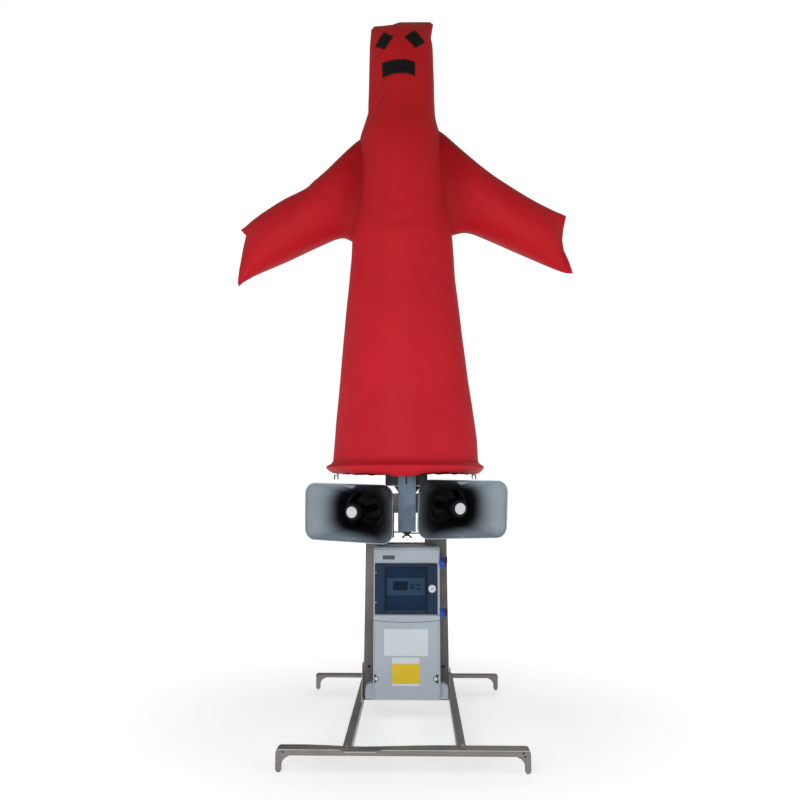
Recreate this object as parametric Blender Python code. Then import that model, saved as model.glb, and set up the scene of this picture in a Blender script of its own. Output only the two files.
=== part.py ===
"""An inflatable scarecrow of red nylon on a stainless steel stand.

The cloth figure is blown up by a fan under its base disc. A post below the disc carries two horn
loudspeakers, and a control box with a window door sits on the uprights. Metres, +Z up, and the
figure faces -Y. Everything is placed from the figure's axis, and the last step moves it back so
that the origin is on the floor under the middle of the stand.
"""

import math

import bmesh
import bpy
from mathutils import Matrix, Vector

GAP = 0.0003
SHEET = 0.0025
CLOTH = 0.002
STAND_X = 0.003

# Floor frame
BAR_LENGTH = 0.650
BAR_DEPTH = 0.038
BAR_SHEET = 0.003
BAR_TOP = 0.057
BAR_FACE = 0.016
BAR_FRONT = -0.438
BAR_REAR = 0.403
FOOT_WIDTH = 0.016
FRONT_SAG = ((-0.245, 0.0), (-0.195, 0.0015), (-0.145, 0.0040), (-0.095, 0.0044), (-0.035, 0.0030),
             (0.030, 0.0010), (0.090, 0.0))
LEFT_RAIL_DROP = 0.0036
RAIL_WIDTH = 0.022
RAIL_INNER = 0.1365
RAIL_DROP = 0.025

# Uprights and the plate that carries the control box
UPRIGHT_FRONT = 0.039
UPRIGHT_DEPTH = 0.040
UPRIGHT_WIDTH = 0.070
UPRIGHT_HALF_FOOT = 0.1348
UPRIGHT_HALF_TOP = 0.1275
UPRIGHT_TOP = 0.700
CROSS_LOW = 0.638

# Control box
BOX_X = 0.006
BOX_WIDTH = 0.200
BOX_LOW = 0.0895
BOX_HIGH = 0.5418
BOX_FRONT = -0.097
BOX_SEAM = -0.052
BOX_BACK = 0.0350
BOX_WALL = 0.003
LUG_WIDTH = 0.024
LUG_HEIGHT = 0.045
WINDOW = (-0.0903, 0.0985, 0.3412, 0.4912)
WINDOW_VIEW = (-0.0587, 0.0673, 0.3520, 0.4810)
DOOR_THICK = 0.005
DOOR_PROUD = 0.0035

# Fan, base disc and post
FAN_X = 0.005
FAN_HALF = 0.065
FAN_LOW = 0.7265
DISC_LOW = 0.780
DISC_THICK = 0.006
DISC_RADIUS = 0.240
AIR_RADIUS = 0.055
POST_X = 0.007
POST_WIDTH = 0.054
POST_FRONT = -0.099
POST_DEPTH = 0.031
POST_LOW = 0.5853

# Horn loudspeakers
HORN_TURN = math.radians(22.0)
HORN_PITCH = math.radians(3.5)
HORN_WALL = 0.003
PIVOT_BACK = 0.150
BELL_RADIUS = 0.075
HORNS = {
    "left": {"side": -1, "x": -0.1660, "y": -0.179, "z": 0.6446, "roll": 1.7, "arm_z": 0.5820},
    "right": {"side": 1, "x": 0.1752, "y": -0.179, "z": 0.6552, "roll": 0.6, "arm_z": 0.5787},
}
HORN_SECTIONS = (
    # depth behind the mouth, half width, half height, corner radius
    (0.000, 0.1450, 0.0860, 0.034),
    (0.007, 0.1428, 0.0845, 0.034),
    (0.020, 0.1265, 0.0765, 0.034),
    (0.036, 0.1060, 0.0685, 0.036),
    (0.058, 0.0880, 0.0605, 0.040),
    (0.087, 0.0750, 0.0550, 0.046),
    (0.117, 0.0690, 0.0530, 0.050),
)

# The figure: one row for each section up the body, from the hem to the top seam
BODY_SEGMENTS = 40
BODY_ROWS = (
    # z, centre x, half width, half depth, squareness
    (0.7620, 0.0010, 0.2245, 0.2245, 2.0),
    (0.7690, 0.0005, 0.2390, 0.2390, 2.0),
    (0.7780, 0.0000, 0.2485, 0.2485, 2.0),
    (0.7830, 0.0000, 0.2507, 0.2507, 2.0),
    (0.7880, 0.0005, 0.2450, 0.2450, 2.0),
    (0.7940, 0.0010, 0.2345, 0.2345, 2.0),
    (0.8020, 0.0015, 0.2300, 0.2300, 2.0),
    (0.8701, 0.0030, 0.2260, 0.2260, 2.0),
    (0.9343, 0.0006, 0.2201, 0.2201, 2.0),
    (1.0000, -0.0012, 0.2125, 0.2125, 2.0),
    (1.0638, -0.0030, 0.2050, 0.2050, 2.0),
    (1.1300, -0.0045, 0.1984, 0.1984, 2.0),
    (1.1946, -0.0061, 0.1916, 0.1916, 2.0),
    (1.2600, -0.0066, 0.1852, 0.1852, 2.0),
    (1.3268, -0.0072, 0.1788, 0.1788, 2.0),
    (1.3935, -0.0081, 0.1721, 0.1721, 2.0),
    (1.4605, -0.0072, 0.1675, 0.1675, 2.0),
    (1.5300, -0.0085, 0.1640, 0.1640, 2.0),
    (1.5900, -0.0082, 0.1540, 0.1560, 2.0),
    (1.6500, -0.0075, 0.1470, 0.1520, 2.0),
    (1.7100, -0.0075, 0.1440, 0.1500, 2.0),
    (1.7700, -0.0095, 0.1415, 0.1470, 2.0),
    (1.8250, -0.0125, 0.1390, 0.1420, 2.0),
    (1.8700, -0.0140, 0.1350, 0.1350, 2.0),
    (1.9050, -0.0138, 0.1240, 0.1260, 2.0),
    (1.9400, -0.0130, 0.1150, 0.1180, 2.0),
    (1.9750, -0.0116, 0.1119, 0.1135, 2.0),
    (2.0100, -0.0113, 0.1106, 0.1110, 2.0),
    (2.0450, -0.0111, 0.1096, 0.1095, 2.0),
    (2.1156, -0.0113, 0.1074, 0.1050, 2.1),
    (2.1600, -0.0114, 0.1064, 0.0990, 2.1),
    (2.1950, -0.0118, 0.1056, 0.0880, 2.2),
    (2.2223, -0.0137, 0.1018, 0.0740, 2.2),
    (2.2450, -0.0120, 0.1030, 0.0530, 2.2),
    (2.2630, -0.0105, 0.1040, 0.0290, 2.2),
    (2.2830, -0.0049, 0.1015, 0.0030, 2.0),
)
TOP_SEAM = ((-0.110, 0.0170), (-0.102, 0.0125), (-0.048, 0.0110), (-0.026, 0.0030), (-0.018, 0.0),
            (0.086, 0.0), (0.097, 0.0095))
BODY_FOLDS = (
    # z, angle round the body, lean, half length, half width, depth
    (2.000, 146, 39, 0.070, 0.017, 0.0080),
    (1.545, 90, 2, 0.060, 0.020, 0.0035),
    (1.630, 18, 55, 0.050, 0.020, 0.0050),
    (1.300, 90, 90, 0.220, 0.014, 0.0020),
)
HEM_SAG = 0.011
HEM_SAG_WIDTH = 14.0

SLEEVE_SEGMENTS = 28
SLEEVE_ROWS = {
    # upper edge x and z, lower edge x and z, half depth, from the root to the end seam
    "left": (
        (-0.0851, 1.9076, -0.0960, 1.4740, 0.070),
        (-0.1496, 1.8707, -0.1730, 1.5230, 0.072),
        (-0.1958, 1.8256, -0.2090, 1.5410, 0.086),
        (-0.2632, 1.7530, -0.2847, 1.5078, 0.094),
        (-0.2980, 1.7240, -0.3130, 1.4950, 0.094),
        (-0.3170, 1.7020, -0.3370, 1.4835, 0.092),
        (-0.3484, 1.6860, -0.3743, 1.4650, 0.090),
        (-0.3963, 1.6638, -0.4167, 1.4454, 0.083),
        (-0.4441, 1.6340, -0.4579, 1.4268, 0.073),
        (-0.4831, 1.6088, -0.4929, 1.4105, 0.058),
        (-0.5100, 1.5898, -0.5130, 1.3980, 0.040),
        (-0.5260, 1.5755, -0.5330, 1.3850, 0.020),
        (-0.5420, 1.5640, -0.5430, 1.3730, 0.003),
    ),
    "right": (
        (0.0621, 1.9276, 0.0800, 1.5150, 0.070),
        (0.1222, 1.8935, 0.1600, 1.5440, 0.072),
        (0.1724, 1.8420, 0.2050, 1.5545, 0.086),
        (0.2335, 1.7845, 0.2679, 1.5291, 0.094),
        (0.2844, 1.7416, 0.3096, 1.5102, 0.094),
        (0.3304, 1.7100, 0.3516, 1.4903, 0.090),
        (0.3803, 1.6775, 0.3987, 1.4687, 0.083),
        (0.4301, 1.6480, 0.4419, 1.4480, 0.073),
        (0.4700, 1.6290, 0.4760, 1.4316, 0.058),
        (0.4970, 1.6170, 0.5020, 1.4198, 0.040),
        (0.5120, 1.6120, 0.5240, 1.4120, 0.020),
        (0.5290, 1.6040, 0.5470, 1.4110, 0.003),
    ),
}
SLEEVE_ENDS = {
    # share of the way down the end seam, and how far the seam lies inside the line between its ears
    "left": ((0.0, 0.0), (0.10, 0.0185), (0.35, 0.0095), (0.72, -0.0010), (0.94, -0.0050), (1.0, 0.0)),
    "right": ((0.0, 0.0), (0.24, 0.0150), (0.42, 0.0225), (0.60, 0.0215), (0.77, 0.0100), (1.0, 0.0)),
}

# Black patches sewn on the front of the head, as corners in x and z
FACE_PATCHES = {
    "eye_left": ((-0.0680, 2.2052), (-0.0362, 2.1781), (-0.0647, 2.1343), (-0.0972, 2.1601)),
    "eye_right": ((0.0331, 2.2102), (0.0674, 2.1704), (0.0362, 2.1378), (0.0005, 2.1744)),
    "mouth": (
        (-0.0728, 2.0886), (-0.0341, 2.0918), (0.0022, 2.0923), (0.0345, 2.0880),
        (0.0344, 2.0390), (0.0039, 2.0441), (-0.0340, 2.0436), (-0.0709, 2.0384),
    ),
}
PATCH_CELL = 0.011
PATCH_LIFT = 0.0010
PATCH_THICK = 0.0010

FINISHES = {
    # colour, roughness, metallic
    "red nylon": ((0.60, 0.015, 0.02), 0.45, 0.0),
    "black nylon": ((0.010, 0.010, 0.011), 0.50, 0.0),
    "brushed steel": ((0.46, 0.44, 0.41), 0.34, 1.0),
    "grey horn plastic": ((0.33, 0.36, 0.38), 0.42, 0.0),
    "black plastic": ((0.012, 0.012, 0.013), 0.42, 0.0),
    "black steel": ((0.020, 0.020, 0.021), 0.45, 0.6),
    "light grey plastic": ((0.55, 0.57, 0.56), 0.45, 0.0),
    "smoked window": ((0.030, 0.038, 0.050), 0.12, 0.0),
    "dark panel": ((0.055, 0.065, 0.080), 0.45, 0.0),
    "dark grey panel": ((0.10, 0.11, 0.12), 0.40, 0.0),
    "white plastic": ((0.80, 0.80, 0.78), 0.40, 0.0),
    "yellow label": ((0.85, 0.62, 0.04), 0.45, 0.0),
    "blue plastic": ((0.03, 0.08, 0.42), 0.35, 0.0),
}


def clear_scene():
    for obj in list(bpy.data.objects):
        bpy.data.objects.remove(obj, do_unlink=True)


def finish(name):
    made = bpy.data.materials.get(name)
    if made:
        return made
    made = bpy.data.materials.new(name)
    made.use_nodes = True
    shader = made.node_tree.nodes["Principled BSDF"]
    colour, roughness, metallic = FINISHES[name]
    shader.inputs["Base Color"].default_value = (*colour, 1.0)
    shader.inputs["Roughness"].default_value = roughness
    shader.inputs["Metallic"].default_value = metallic
    return made


def add_object(name, bm, finish_name=None, smooth=False):
    """Puts a bmesh into the scene with its faces pointing out; with no finish it is a cutter."""
    bmesh.ops.recalc_face_normals(bm, faces=bm.faces)
    mesh = bpy.data.meshes.new(name)
    bm.to_mesh(mesh)
    bm.free()
    obj = bpy.data.objects.new(name, mesh)
    bpy.context.scene.collection.objects.link(obj)
    if finish_name is None:
        obj.hide_render = True
        obj.display_type = "WIRE"
        return obj
    mesh.materials.append(finish(finish_name))
    if smooth:
        mesh.shade_smooth()
        mesh.set_sharp_from_angle(angle=math.radians(40))
    return obj


def combine(obj, others, operation):
    for other in others:
        modifier = obj.modifiers.new(other.name, "BOOLEAN")
        modifier.operation = operation
        modifier.object = other


def cut(obj, *others):
    combine(obj, others, "DIFFERENCE")


def fuse(obj, *others):
    combine(obj, others, "UNION")


def box_mesh(low, high):
    bm = bmesh.new()
    size = Vector(high) - Vector(low)
    middle = (Vector(high) + Vector(low)) / 2
    bmesh.ops.create_cube(bm, size=1.0, matrix=Matrix.Translation(middle) @ Matrix.Diagonal((*size, 1.0)))
    return bm


def box(name, low, high, finish_name=None, bevel=0.0):
    obj = add_object(name, box_mesh(low, high), finish_name)
    if bevel:
        modifier = obj.modifiers.new("edges", "BEVEL")
        modifier.width = bevel
        modifier.segments = 2
    return obj


def prism_mesh(outline, low, high, axis):
    """The outline swept along an axis; its two numbers are the other axes, in X, Y, Z order."""
    def place(a, b, c):
        return {"X": (c, a, b), "Y": (a, c, b), "Z": (a, b, c)}[axis]
    bm = bmesh.new()
    face = bm.faces.new([bm.verts.new(place(a, b, low)) for a, b in outline])
    made = bmesh.ops.extrude_face_region(bm, geom=[face])
    moved = [item for item in made["geom"] if isinstance(item, bmesh.types.BMVert)]
    bmesh.ops.translate(bm, verts=moved, vec=Vector(place(0.0, 0.0, high - low)))
    return bm


def prism(name, outline, low, high, axis, finish_name=None):
    return add_object(name, prism_mesh(outline, low, high, axis), finish_name)


def lathe_mesh(profile, steps):
    """Turns a profile of radius and height round Z; ends at radius 0 close it."""
    bm = bmesh.new()
    points = [bm.verts.new((radius, 0.0, height)) for radius, height in profile]
    edges = [bm.edges.new(pair) for pair in zip(points, points[1:])]
    bmesh.ops.spin(bm, geom=points + edges, cent=(0, 0, 0), axis=(0, 0, 1), angle=math.tau,
                   steps=steps, use_merge=True, use_duplicate=False)
    bmesh.ops.remove_doubles(bm, verts=bm.verts, dist=1e-6)
    return bm


def lathe(name, profile, matrix, finish_name=None, steps=24):
    bm = lathe_mesh(profile, steps)
    bmesh.ops.transform(bm, matrix=matrix, verts=bm.verts)
    return add_object(name, bm, finish_name, smooth=finish_name is not None)


def disc_profile(radius, low, high, bevel=0.0):
    if not bevel:
        return ((0.0, low), (radius, low), (radius, high), (0.0, high))
    return ((0.0, low), (radius, low), (radius, high - bevel), (radius - bevel, high), (0.0, high))


def arc(centre, radius, start, end, steps):
    """Points on an arc between two angles in degrees."""
    turns = [math.radians(start + (end - start) * i / steps) for i in range(steps + 1)]
    return [(centre[0] + radius * math.cos(t), centre[1] + radius * math.sin(t)) for t in turns]


def rounded_rectangle(half_width, half_height, radius, steps=4):
    points = []
    for k, (sx, sy) in enumerate(((1, 1), (-1, 1), (-1, -1), (1, -1))):
        centre = (sx * (half_width - radius), sy * (half_height - radius))
        points += arc(centre, radius, 90 * k, 90 * k + 90, steps)
    return points


def tube_mesh(rings, zip_end=False, cap_start=False, cap_end=False):
    """Faces between rings of points; zip_end closes a flat last ring across its slit."""
    bm = bmesh.new()
    made = [[bm.verts.new(point) for point in ring] for ring in rings]
    count = len(made[0])
    for ring, following in zip(made, made[1:]):
        for k in range(count):
            after = (k + 1) % count
            bm.faces.new((ring[k], ring[after], following[after], following[k]))
    if cap_start:
        bm.faces.new(made[0])
    if cap_end:
        bm.faces.new(made[-1])
    if zip_end:
        last = made[-1]
        half = count // 2
        bm.faces.new((last[0], last[1], last[-1]))
        bm.faces.new((last[half - 1], last[half], last[half + 1]))
        for k in range(1, half - 1):
            bm.faces.new((last[k], last[k + 1], last[count - k - 1], last[count - k]))
    return bm


def solidify(obj, thickness, outward=False):
    modifier = obj.modifiers.new("wall", "SOLIDIFY")
    modifier.thickness = thickness
    modifier.offset = 1.0 if outward else -1.0


def between(table, value):
    """The value read from a table of pairs, along straight lines between them."""
    for (low, first), (high, second) in zip(table, table[1:]):
        if low <= value <= high:
            return first + (second - first) * (value - low) / (high - low)
    return table[0][1] if value < table[0][0] else table[-1][1]


def power(value, squareness):
    return math.copysign(abs(value) ** (2.0 / squareness), value)


def fold_depth(angle, z, radius):
    """How far the body's surface is drawn in at an angle in degrees and a height."""
    total = 0.0
    for fold_z, fold_angle, lean, half_length, half_width, depth in BODY_FOLDS:
        across = math.radians(angle - fold_angle) * radius
        rise = z - fold_z
        turn = math.radians(lean)
        along = -across * math.cos(turn) + rise * math.sin(turn)
        aside = across * math.sin(turn) + rise * math.cos(turn)
        total += depth * math.exp(-(along / half_length) ** 2 - (aside / half_width) ** 2)
    return total


def body_ring(row, grow):
    z, centre, half_width, half_depth, squareness = row
    points = []
    for k in range(BODY_SEGMENTS):
        angle = 360.0 * k / BODY_SEGMENTS
        turn = math.radians(angle)
        inward = fold_depth(angle, z, half_width)
        x = centre + (half_width + grow - inward) * power(math.cos(turn), squareness)
        y = -(half_depth + grow - min(inward, half_depth / 2)) * power(math.sin(turn), squareness)
        sag = HEM_SAG * math.exp(-((angle - 90) / HEM_SAG_WIDTH) ** 2) + 0.0015 * math.cos(3 * turn)
        share = max(0.0, min(1.0, (0.783 - z) / 0.021))
        drop = between(TOP_SEAM, x) * max(0.0, (z - 2.2450) / 0.0380)
        points.append((x, y, z - sag * share - drop))
    return points


def body_rings(grow=0.0):
    return [body_ring(row, grow) for row in BODY_ROWS]


def sleeve_rings(side, grow=0.0, rows=None):
    """Sections of a sleeve between its upper and lower edges; the end seam dips between its ears."""
    table = SLEEVE_ROWS[side][:rows]
    last = len(SLEEVE_ROWS[side]) - 1
    outward = -1 if side == "left" else 1
    rings = []
    for index, (ux, uz, lx, lz, half_depth) in enumerate(table):
        middle = Vector(((ux + lx) / 2, 0.0, (uz + lz) / 2))
        up = Vector(((ux - lx) / 2, 0.0, (uz - lz) / 2))
        up = up * (1 + grow / up.length)
        ring = []
        for k in range(SLEEVE_SEGMENTS):
            turn = math.tau * k / SLEEVE_SEGMENTS
            point = middle + up * math.cos(turn)
            point.y = -(half_depth + grow) * math.sin(turn)
            inset = between(SLEEVE_ENDS[side], (1 - math.cos(turn)) / 2)
            point.x -= outward * inset * {last: 1.0, last - 1: 0.7, last - 2: 0.3}.get(index, 0.0)
            ring.append(tuple(point))
        rings.append(ring)
    return rings


def make_cloth():
    body = add_object("body_cloth", tube_mesh(body_rings(), zip_end=True), "red nylon", smooth=True)
    solidify(body, CLOTH)
    envelope = add_object("body_envelope", tube_mesh(body_rings(0.0006), zip_end=True, cap_start=True))
    for side in ("left", "right"):
        sleeve = add_object(f"sleeve_{side}", tube_mesh(sleeve_rings(side), zip_end=True),
                            "red nylon", smooth=True)
        solidify(sleeve, CLOTH)
        cut(sleeve, envelope)
        passage = tube_mesh(sleeve_rings(side, -0.012, 3), cap_start=True, cap_end=True)
        cut(body, add_object(f"arm_hole_{side}", passage))


def head_front(x, z):
    """The front of the head at a place in its front view."""
    for lower, upper in zip(BODY_ROWS, BODY_ROWS[1:]):
        if lower[0] <= z <= upper[0]:
            t = (z - lower[0]) / (upper[0] - lower[0])
            _, centre, half_width, half_depth, squareness = [
                a + (b - a) * t for a, b in zip(lower, upper)]
            across = min(abs((x - centre) / half_width), 0.999)
            return -half_depth * (1 - across ** squareness) ** (1 / squareness)
    return 0.0


def patch_mesh(corners):
    """A flat polygon cut into small cells and laid on the head."""
    bm = bmesh.new()
    bm.faces.new([bm.verts.new((x, 0.0, z)) for x, z in corners])
    for axis in (0, 2):
        low = min(vert.co[axis] for vert in bm.verts)
        high = max(vert.co[axis] for vert in bm.verts)
        count = int((high - low) / PATCH_CELL)
        for k in range(1, count + 1):
            place = Vector((0.0, 0.0, 0.0))
            place[axis] = low + (high - low) * k / (count + 1)
            normal = Vector((0.0, 0.0, 0.0))
            normal[axis] = 1.0
            bmesh.ops.bisect_plane(bm, geom=bm.verts[:] + bm.edges[:] + bm.faces[:],
                                   plane_co=place, plane_no=normal)
    for vert in bm.verts:
        vert.co.y = head_front(vert.co.x, vert.co.z) - PATCH_LIFT
    return bm


def make_face():
    for name, corners in FACE_PATCHES.items():
        bm = patch_mesh(corners)
        patch = add_object(f"face_{name}", bm, "black nylon")
        if patch.data.polygons[0].normal.y > 0:
            patch.data.flip_normals()
        solidify(patch, PATCH_THICK, outward=True)


def bar_top(sag):
    """The top edge of a crossbar from left to right, with its outer corners cut."""
    end = BAR_LENGTH / 2
    points = [(-end, BAR_TOP - 0.008), (-end + 0.0024, BAR_TOP - 0.0024), (-end + 0.008, BAR_TOP)]
    points += [(x, BAR_TOP - drop) for x, drop in sag]
    return points + [(end - 0.008, BAR_TOP), (end - 0.0024, BAR_TOP - 0.0024), (end, BAR_TOP - 0.008)]


def foot_edge():
    """The right foot and the underside next to it, from the outer edge inwards."""
    end = BAR_LENGTH / 2
    inner = end - FOOT_WIDTH
    return [(end, 0.008), (end - 0.0015, 0.0035), (end - 0.0050, 0.0), (inner + 0.0050, 0.0),
            (inner + 0.0015, 0.0035), (inner, 0.008), (inner, 0.021), (inner - 0.0025, 0.028),
            (inner - 0.0085, 0.035), (inner - 0.0200, BAR_TOP - BAR_FACE)]


def make_crossbar(name, front, back, sag):
    """A folded bar: an outer face that ends in two feet, and a top that runs inwards from it."""
    right = foot_edge()
    left = [(-x, z) for x, z in reversed(right)]
    top = bar_top(sag)
    face_back = front + math.copysign(BAR_SHEET, back - front)
    near, far = sorted((front, face_back))
    bar = prism(f"crossbar_{name}", top + right + left, near, far, "Y", "brushed steel")
    near, far = sorted((front, back))
    plate = top[1:-1] + [(x, z - BAR_SHEET) for x, z in reversed(top[1:-1])]
    fuse(bar, prism(f"bar_top_{name}", plate, near, far, "Y"))


def make_floor_frame():
    make_crossbar("front", BAR_FRONT, BAR_FRONT + BAR_DEPTH, FRONT_SAG)
    make_crossbar("rear", BAR_REAR, BAR_REAR - BAR_DEPTH, ())
    for name, side, tab_top, drop in (("left", -1, 0.168, LEFT_RAIL_DROP), ("right", 1, 0.150, 0.0)):
        make_rail(name, side, tab_top, drop)


def make_rail(name, side, tab_top, drop):
    """A rail: a top plate on both crossbars, and an inner wall that rises beside the upright."""
    low = BAR_TOP + GAP
    high = low + SHEET
    inner = STAND_X + side * RAIL_INNER
    outer = inner + side * RAIL_WIDTH
    middle = UPRIGHT_FRONT + UPRIGHT_DEPTH / 2
    front = BAR_FRONT + BAR_DEPTH + 0.003
    rear = BAR_REAR - BAR_DEPTH - 0.003
    under = high - 0.0005
    wall = [(front, high - RAIL_DROP), (rear, high - RAIL_DROP), (rear, under), (middle + 0.062, under),
            (middle + 0.022, tab_top - 0.01), (middle + 0.012, tab_top), (middle - 0.012, tab_top),
            (middle - 0.022, tab_top - 0.01), (middle - 0.062, under), (front, under)]
    near, far = sorted((inner, outer))
    plate = box_mesh((near, BAR_FRONT + 0.003, low), (far, BAR_REAR - 0.003, high))
    near, far = sorted((inner, inner + side * SHEET))
    web = prism_mesh(wall, near, far, "X")
    for bm in (plate, web):
        for vert in bm.verts:
            vert.co.z -= drop * (BAR_REAR - vert.co.y) / (BAR_REAR - BAR_FRONT)
    rail = add_object(f"rail_{name}", plate, "brushed steel")
    fuse(rail, add_object(f"rail_wall_{name}", web))


def make_uprights():
    foot = BAR_TOP
    for name, side in (("left", -1), ("right", 1)):
        foot_x = UPRIGHT_HALF_FOOT
        top_x = UPRIGHT_HALF_TOP
        outline = [(STAND_X + side * foot_x, foot), (STAND_X + side * top_x, UPRIGHT_TOP),
                   (STAND_X + side * (top_x - UPRIGHT_WIDTH), UPRIGHT_TOP),
                   (STAND_X + side * (foot_x - UPRIGHT_WIDTH), foot)]
        inset = side * SHEET
        hollow = [(outline[0][0] - inset, foot - 0.01), (outline[1][0] - inset, UPRIGHT_TOP + 0.01),
                  (outline[2][0] + inset, UPRIGHT_TOP + 0.01), (outline[3][0] + inset, foot - 0.01)]
        upright = prism(f"upright_{name}", outline, UPRIGHT_FRONT, UPRIGHT_FRONT + UPRIGHT_DEPTH,
                        "Y", "brushed steel")
        cut(upright, prism(f"upright_inside_{name}", hollow, UPRIGHT_FRONT + SHEET,
                           UPRIGHT_FRONT + UPRIGHT_DEPTH + 0.01, "Y"))
    half = UPRIGHT_HALF_TOP - 0.0005
    box("box_plate", (STAND_X - half, UPRIGHT_FRONT - GAP - 0.003, 0.075),
        (STAND_X + half, UPRIGHT_FRONT - GAP, 0.545), "brushed steel")
    inner = UPRIGHT_HALF_TOP - UPRIGHT_WIDTH - 0.0008
    cross = box("cross_member", (STAND_X - inner, UPRIGHT_FRONT, CROSS_LOW),
                (STAND_X + inner, UPRIGHT_FRONT + UPRIGHT_DEPTH, UPRIGHT_TOP), "brushed steel")
    cut(cross, box("cross_inside", (-0.2, UPRIGHT_FRONT + SHEET, CROSS_LOW + SHEET),
                   (0.2, UPRIGHT_FRONT + UPRIGHT_DEPTH + 0.01, UPRIGHT_TOP - SHEET)))


def make_fan():
    low = FAN_LOW
    high = DISC_LOW - GAP
    at = Matrix.Translation((FAN_X, 0.0, 0.0))
    frame = prism("fan_frame", [(FAN_X + x, y) for x, y in rounded_rectangle(FAN_HALF, FAN_HALF, 0.006, 2)],
                  low, high, "Z", "black plastic")
    cut(frame, lathe("fan_bore", disc_profile(0.0595, low - 0.01, high + 0.01), at, steps=32))
    fuse(frame, lathe("fan_boss", disc_profile(0.021, low, low + 0.008), at, steps=16))
    for k in range(3):
        strut = box_mesh((0.015, -0.004, low + 0.0005), (0.0610, 0.004, low + 0.0055))
        turn = Matrix.Rotation(math.radians(120 * k + 30), 4, "Z")
        bmesh.ops.transform(strut, matrix=at @ turn, verts=strut.verts)
        fuse(frame, add_object(f"fan_strut_{k}", strut))
    rotor = lathe("fan_rotor", disc_profile(0.022, low + 0.0085, low + 0.036, 0.004), at,
                  "black plastic", steps=20)
    for k in range(7):
        blade = tube_mesh([blade_section(radius, lean) for radius, lean in
                           ((0.018, 42), (0.038, 34), (0.0565, 26))], cap_start=True, cap_end=True)
        turn = Matrix.Rotation(math.tau * k / 7, 4, "Z")
        bmesh.ops.transform(blade, matrix=at @ Matrix.Translation((0, 0, low + 0.022)) @ turn,
                            verts=blade.verts)
        fuse(rotor, add_object(f"fan_blade_{k}", blade))
    tray = box("fan_tray", (FAN_X - FAN_HALF, -FAN_HALF, low - GAP - SHEET),
               (FAN_X + FAN_HALF, UPRIGHT_FRONT + UPRIGHT_DEPTH, low - GAP), "brushed steel")
    cut(tray, lathe("tray_hole", disc_profile(0.057, low - 0.02, low + 0.01), at, steps=24))
    top = low - SHEET - 2 * GAP
    foot = UPRIGHT_TOP + GAP
    gusset = prism("fan_gusset", [(POST_X - 0.043, top), (POST_X + 0.043, top), (POST_X + 0.026, foot),
                                  (POST_X - 0.026, foot)],
                   UPRIGHT_FRONT, UPRIGHT_FRONT + UPRIGHT_DEPTH, "Y", "brushed steel")
    cut(gusset, box("gusset_inside", (-0.2, UPRIGHT_FRONT + SHEET, foot + SHEET),
                    (0.2, UPRIGHT_FRONT + UPRIGHT_DEPTH - SHEET, top - SHEET)))


def blade_section(radius, lean):
    """A flat fan blade's section at a radius, leaning by an angle in degrees."""
    half = 0.0105
    thick = 0.0009
    turn = math.radians(lean)
    points = []
    for a, b in ((-half, -thick), (half, -thick), (half, thick), (-half, thick)):
        points.append((radius, a * math.cos(turn) - b * math.sin(turn), a * math.sin(turn) + b * math.cos(turn)))
    return points


def make_disc_and_post():
    at = Matrix.Translation((0.0, 0.0, 0.0))
    disc = lathe("base_disc", disc_profile(DISC_RADIUS, DISC_LOW, DISC_LOW + DISC_THICK), at,
                 "black plastic", steps=48)
    cut(disc, lathe("air_hole", disc_profile(AIR_RADIUS, DISC_LOW - 0.01, DISC_LOW + 0.02),
                    Matrix.Translation((FAN_X, 0.0, 0.0)), steps=32))
    half = POST_WIDTH / 2
    back = POST_FRONT + POST_DEPTH
    post = box("post", (POST_X - half, POST_FRONT, POST_LOW), (POST_X + half, back, DISC_LOW - GAP),
               "brushed steel")
    cut(post, box("post_inside", (POST_X - half + SHEET, POST_FRONT + SHEET, POST_LOW + SHEET),
                  (POST_X + half - SHEET, back + 0.01, DISC_LOW - GAP - SHEET)),
        box("post_slot", (POST_X - 0.0035, POST_FRONT - 0.01, 0.730),
            (POST_X + 0.0005, POST_FRONT + 0.01, 0.758)))
    stay = box("post_stay", (POST_X - 0.020, back + GAP, 0.655),
               (POST_X + 0.020, UPRIGHT_FRONT - GAP, 0.690), "brushed steel")
    cut(stay, box("stay_inside", (POST_X - 0.0175, back - 0.01, 0.6575),
                  (POST_X + 0.0175, UPRIGHT_FRONT + 0.01, 0.700)))
    make_wing_screw()
    for name, x in (("left", -0.2190), ("right", 0.2185)):
        make_hem_clip(name, x)


def make_wing_screw():
    """The screw that clamps both horn arms under the post, with its two wings pointing down."""
    y = POST_FRONT + POST_DEPTH / 2
    high = HORNS["right"]["arm_z"] - 2 * GAP
    screw = lathe("wing_screw", disc_profile(0.0075, high - 0.0060, high), Matrix.Translation((POST_X, y, 0)),
                  "black steel", steps=16)
    for side in (-1, 1):
        wing = [(side * 0.002, high - 0.003), (side * 0.011, high - 0.013), (side * 0.0155, high - 0.0125),
                (side * 0.0145, high - 0.008), (side * 0.006, high - 0.0005)]
        fuse(screw, prism(f"wing_{side + 1}", [(POST_X + a, b) for a, b in wing], y - 0.0016, y + 0.0016, "Y"))


def make_hem_clip(name, x):
    """A steel clip under the disc: its inner leg is fixed to the disc, and both legs show below the hem."""
    side = math.copysign(1, x)
    legs = [(x + side * 0.0065, 0.7450), (x + side * 0.0065, 0.7590), (x - side * 0.0042, 0.7590),
            (x - side * 0.0042, DISC_LOW - GAP), (x - side * 0.0065, DISC_LOW - GAP), (x - side * 0.0065, 0.7450),
            (x - side * 0.0042, 0.7450), (x - side * 0.0042, 0.7567), (x + side * 0.0042, 0.7567),
            (x + side * 0.0042, 0.7450)]
    prism(f"hem_clip_{name}", legs, -0.008, 0.008, "Y", "black steel")


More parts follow.
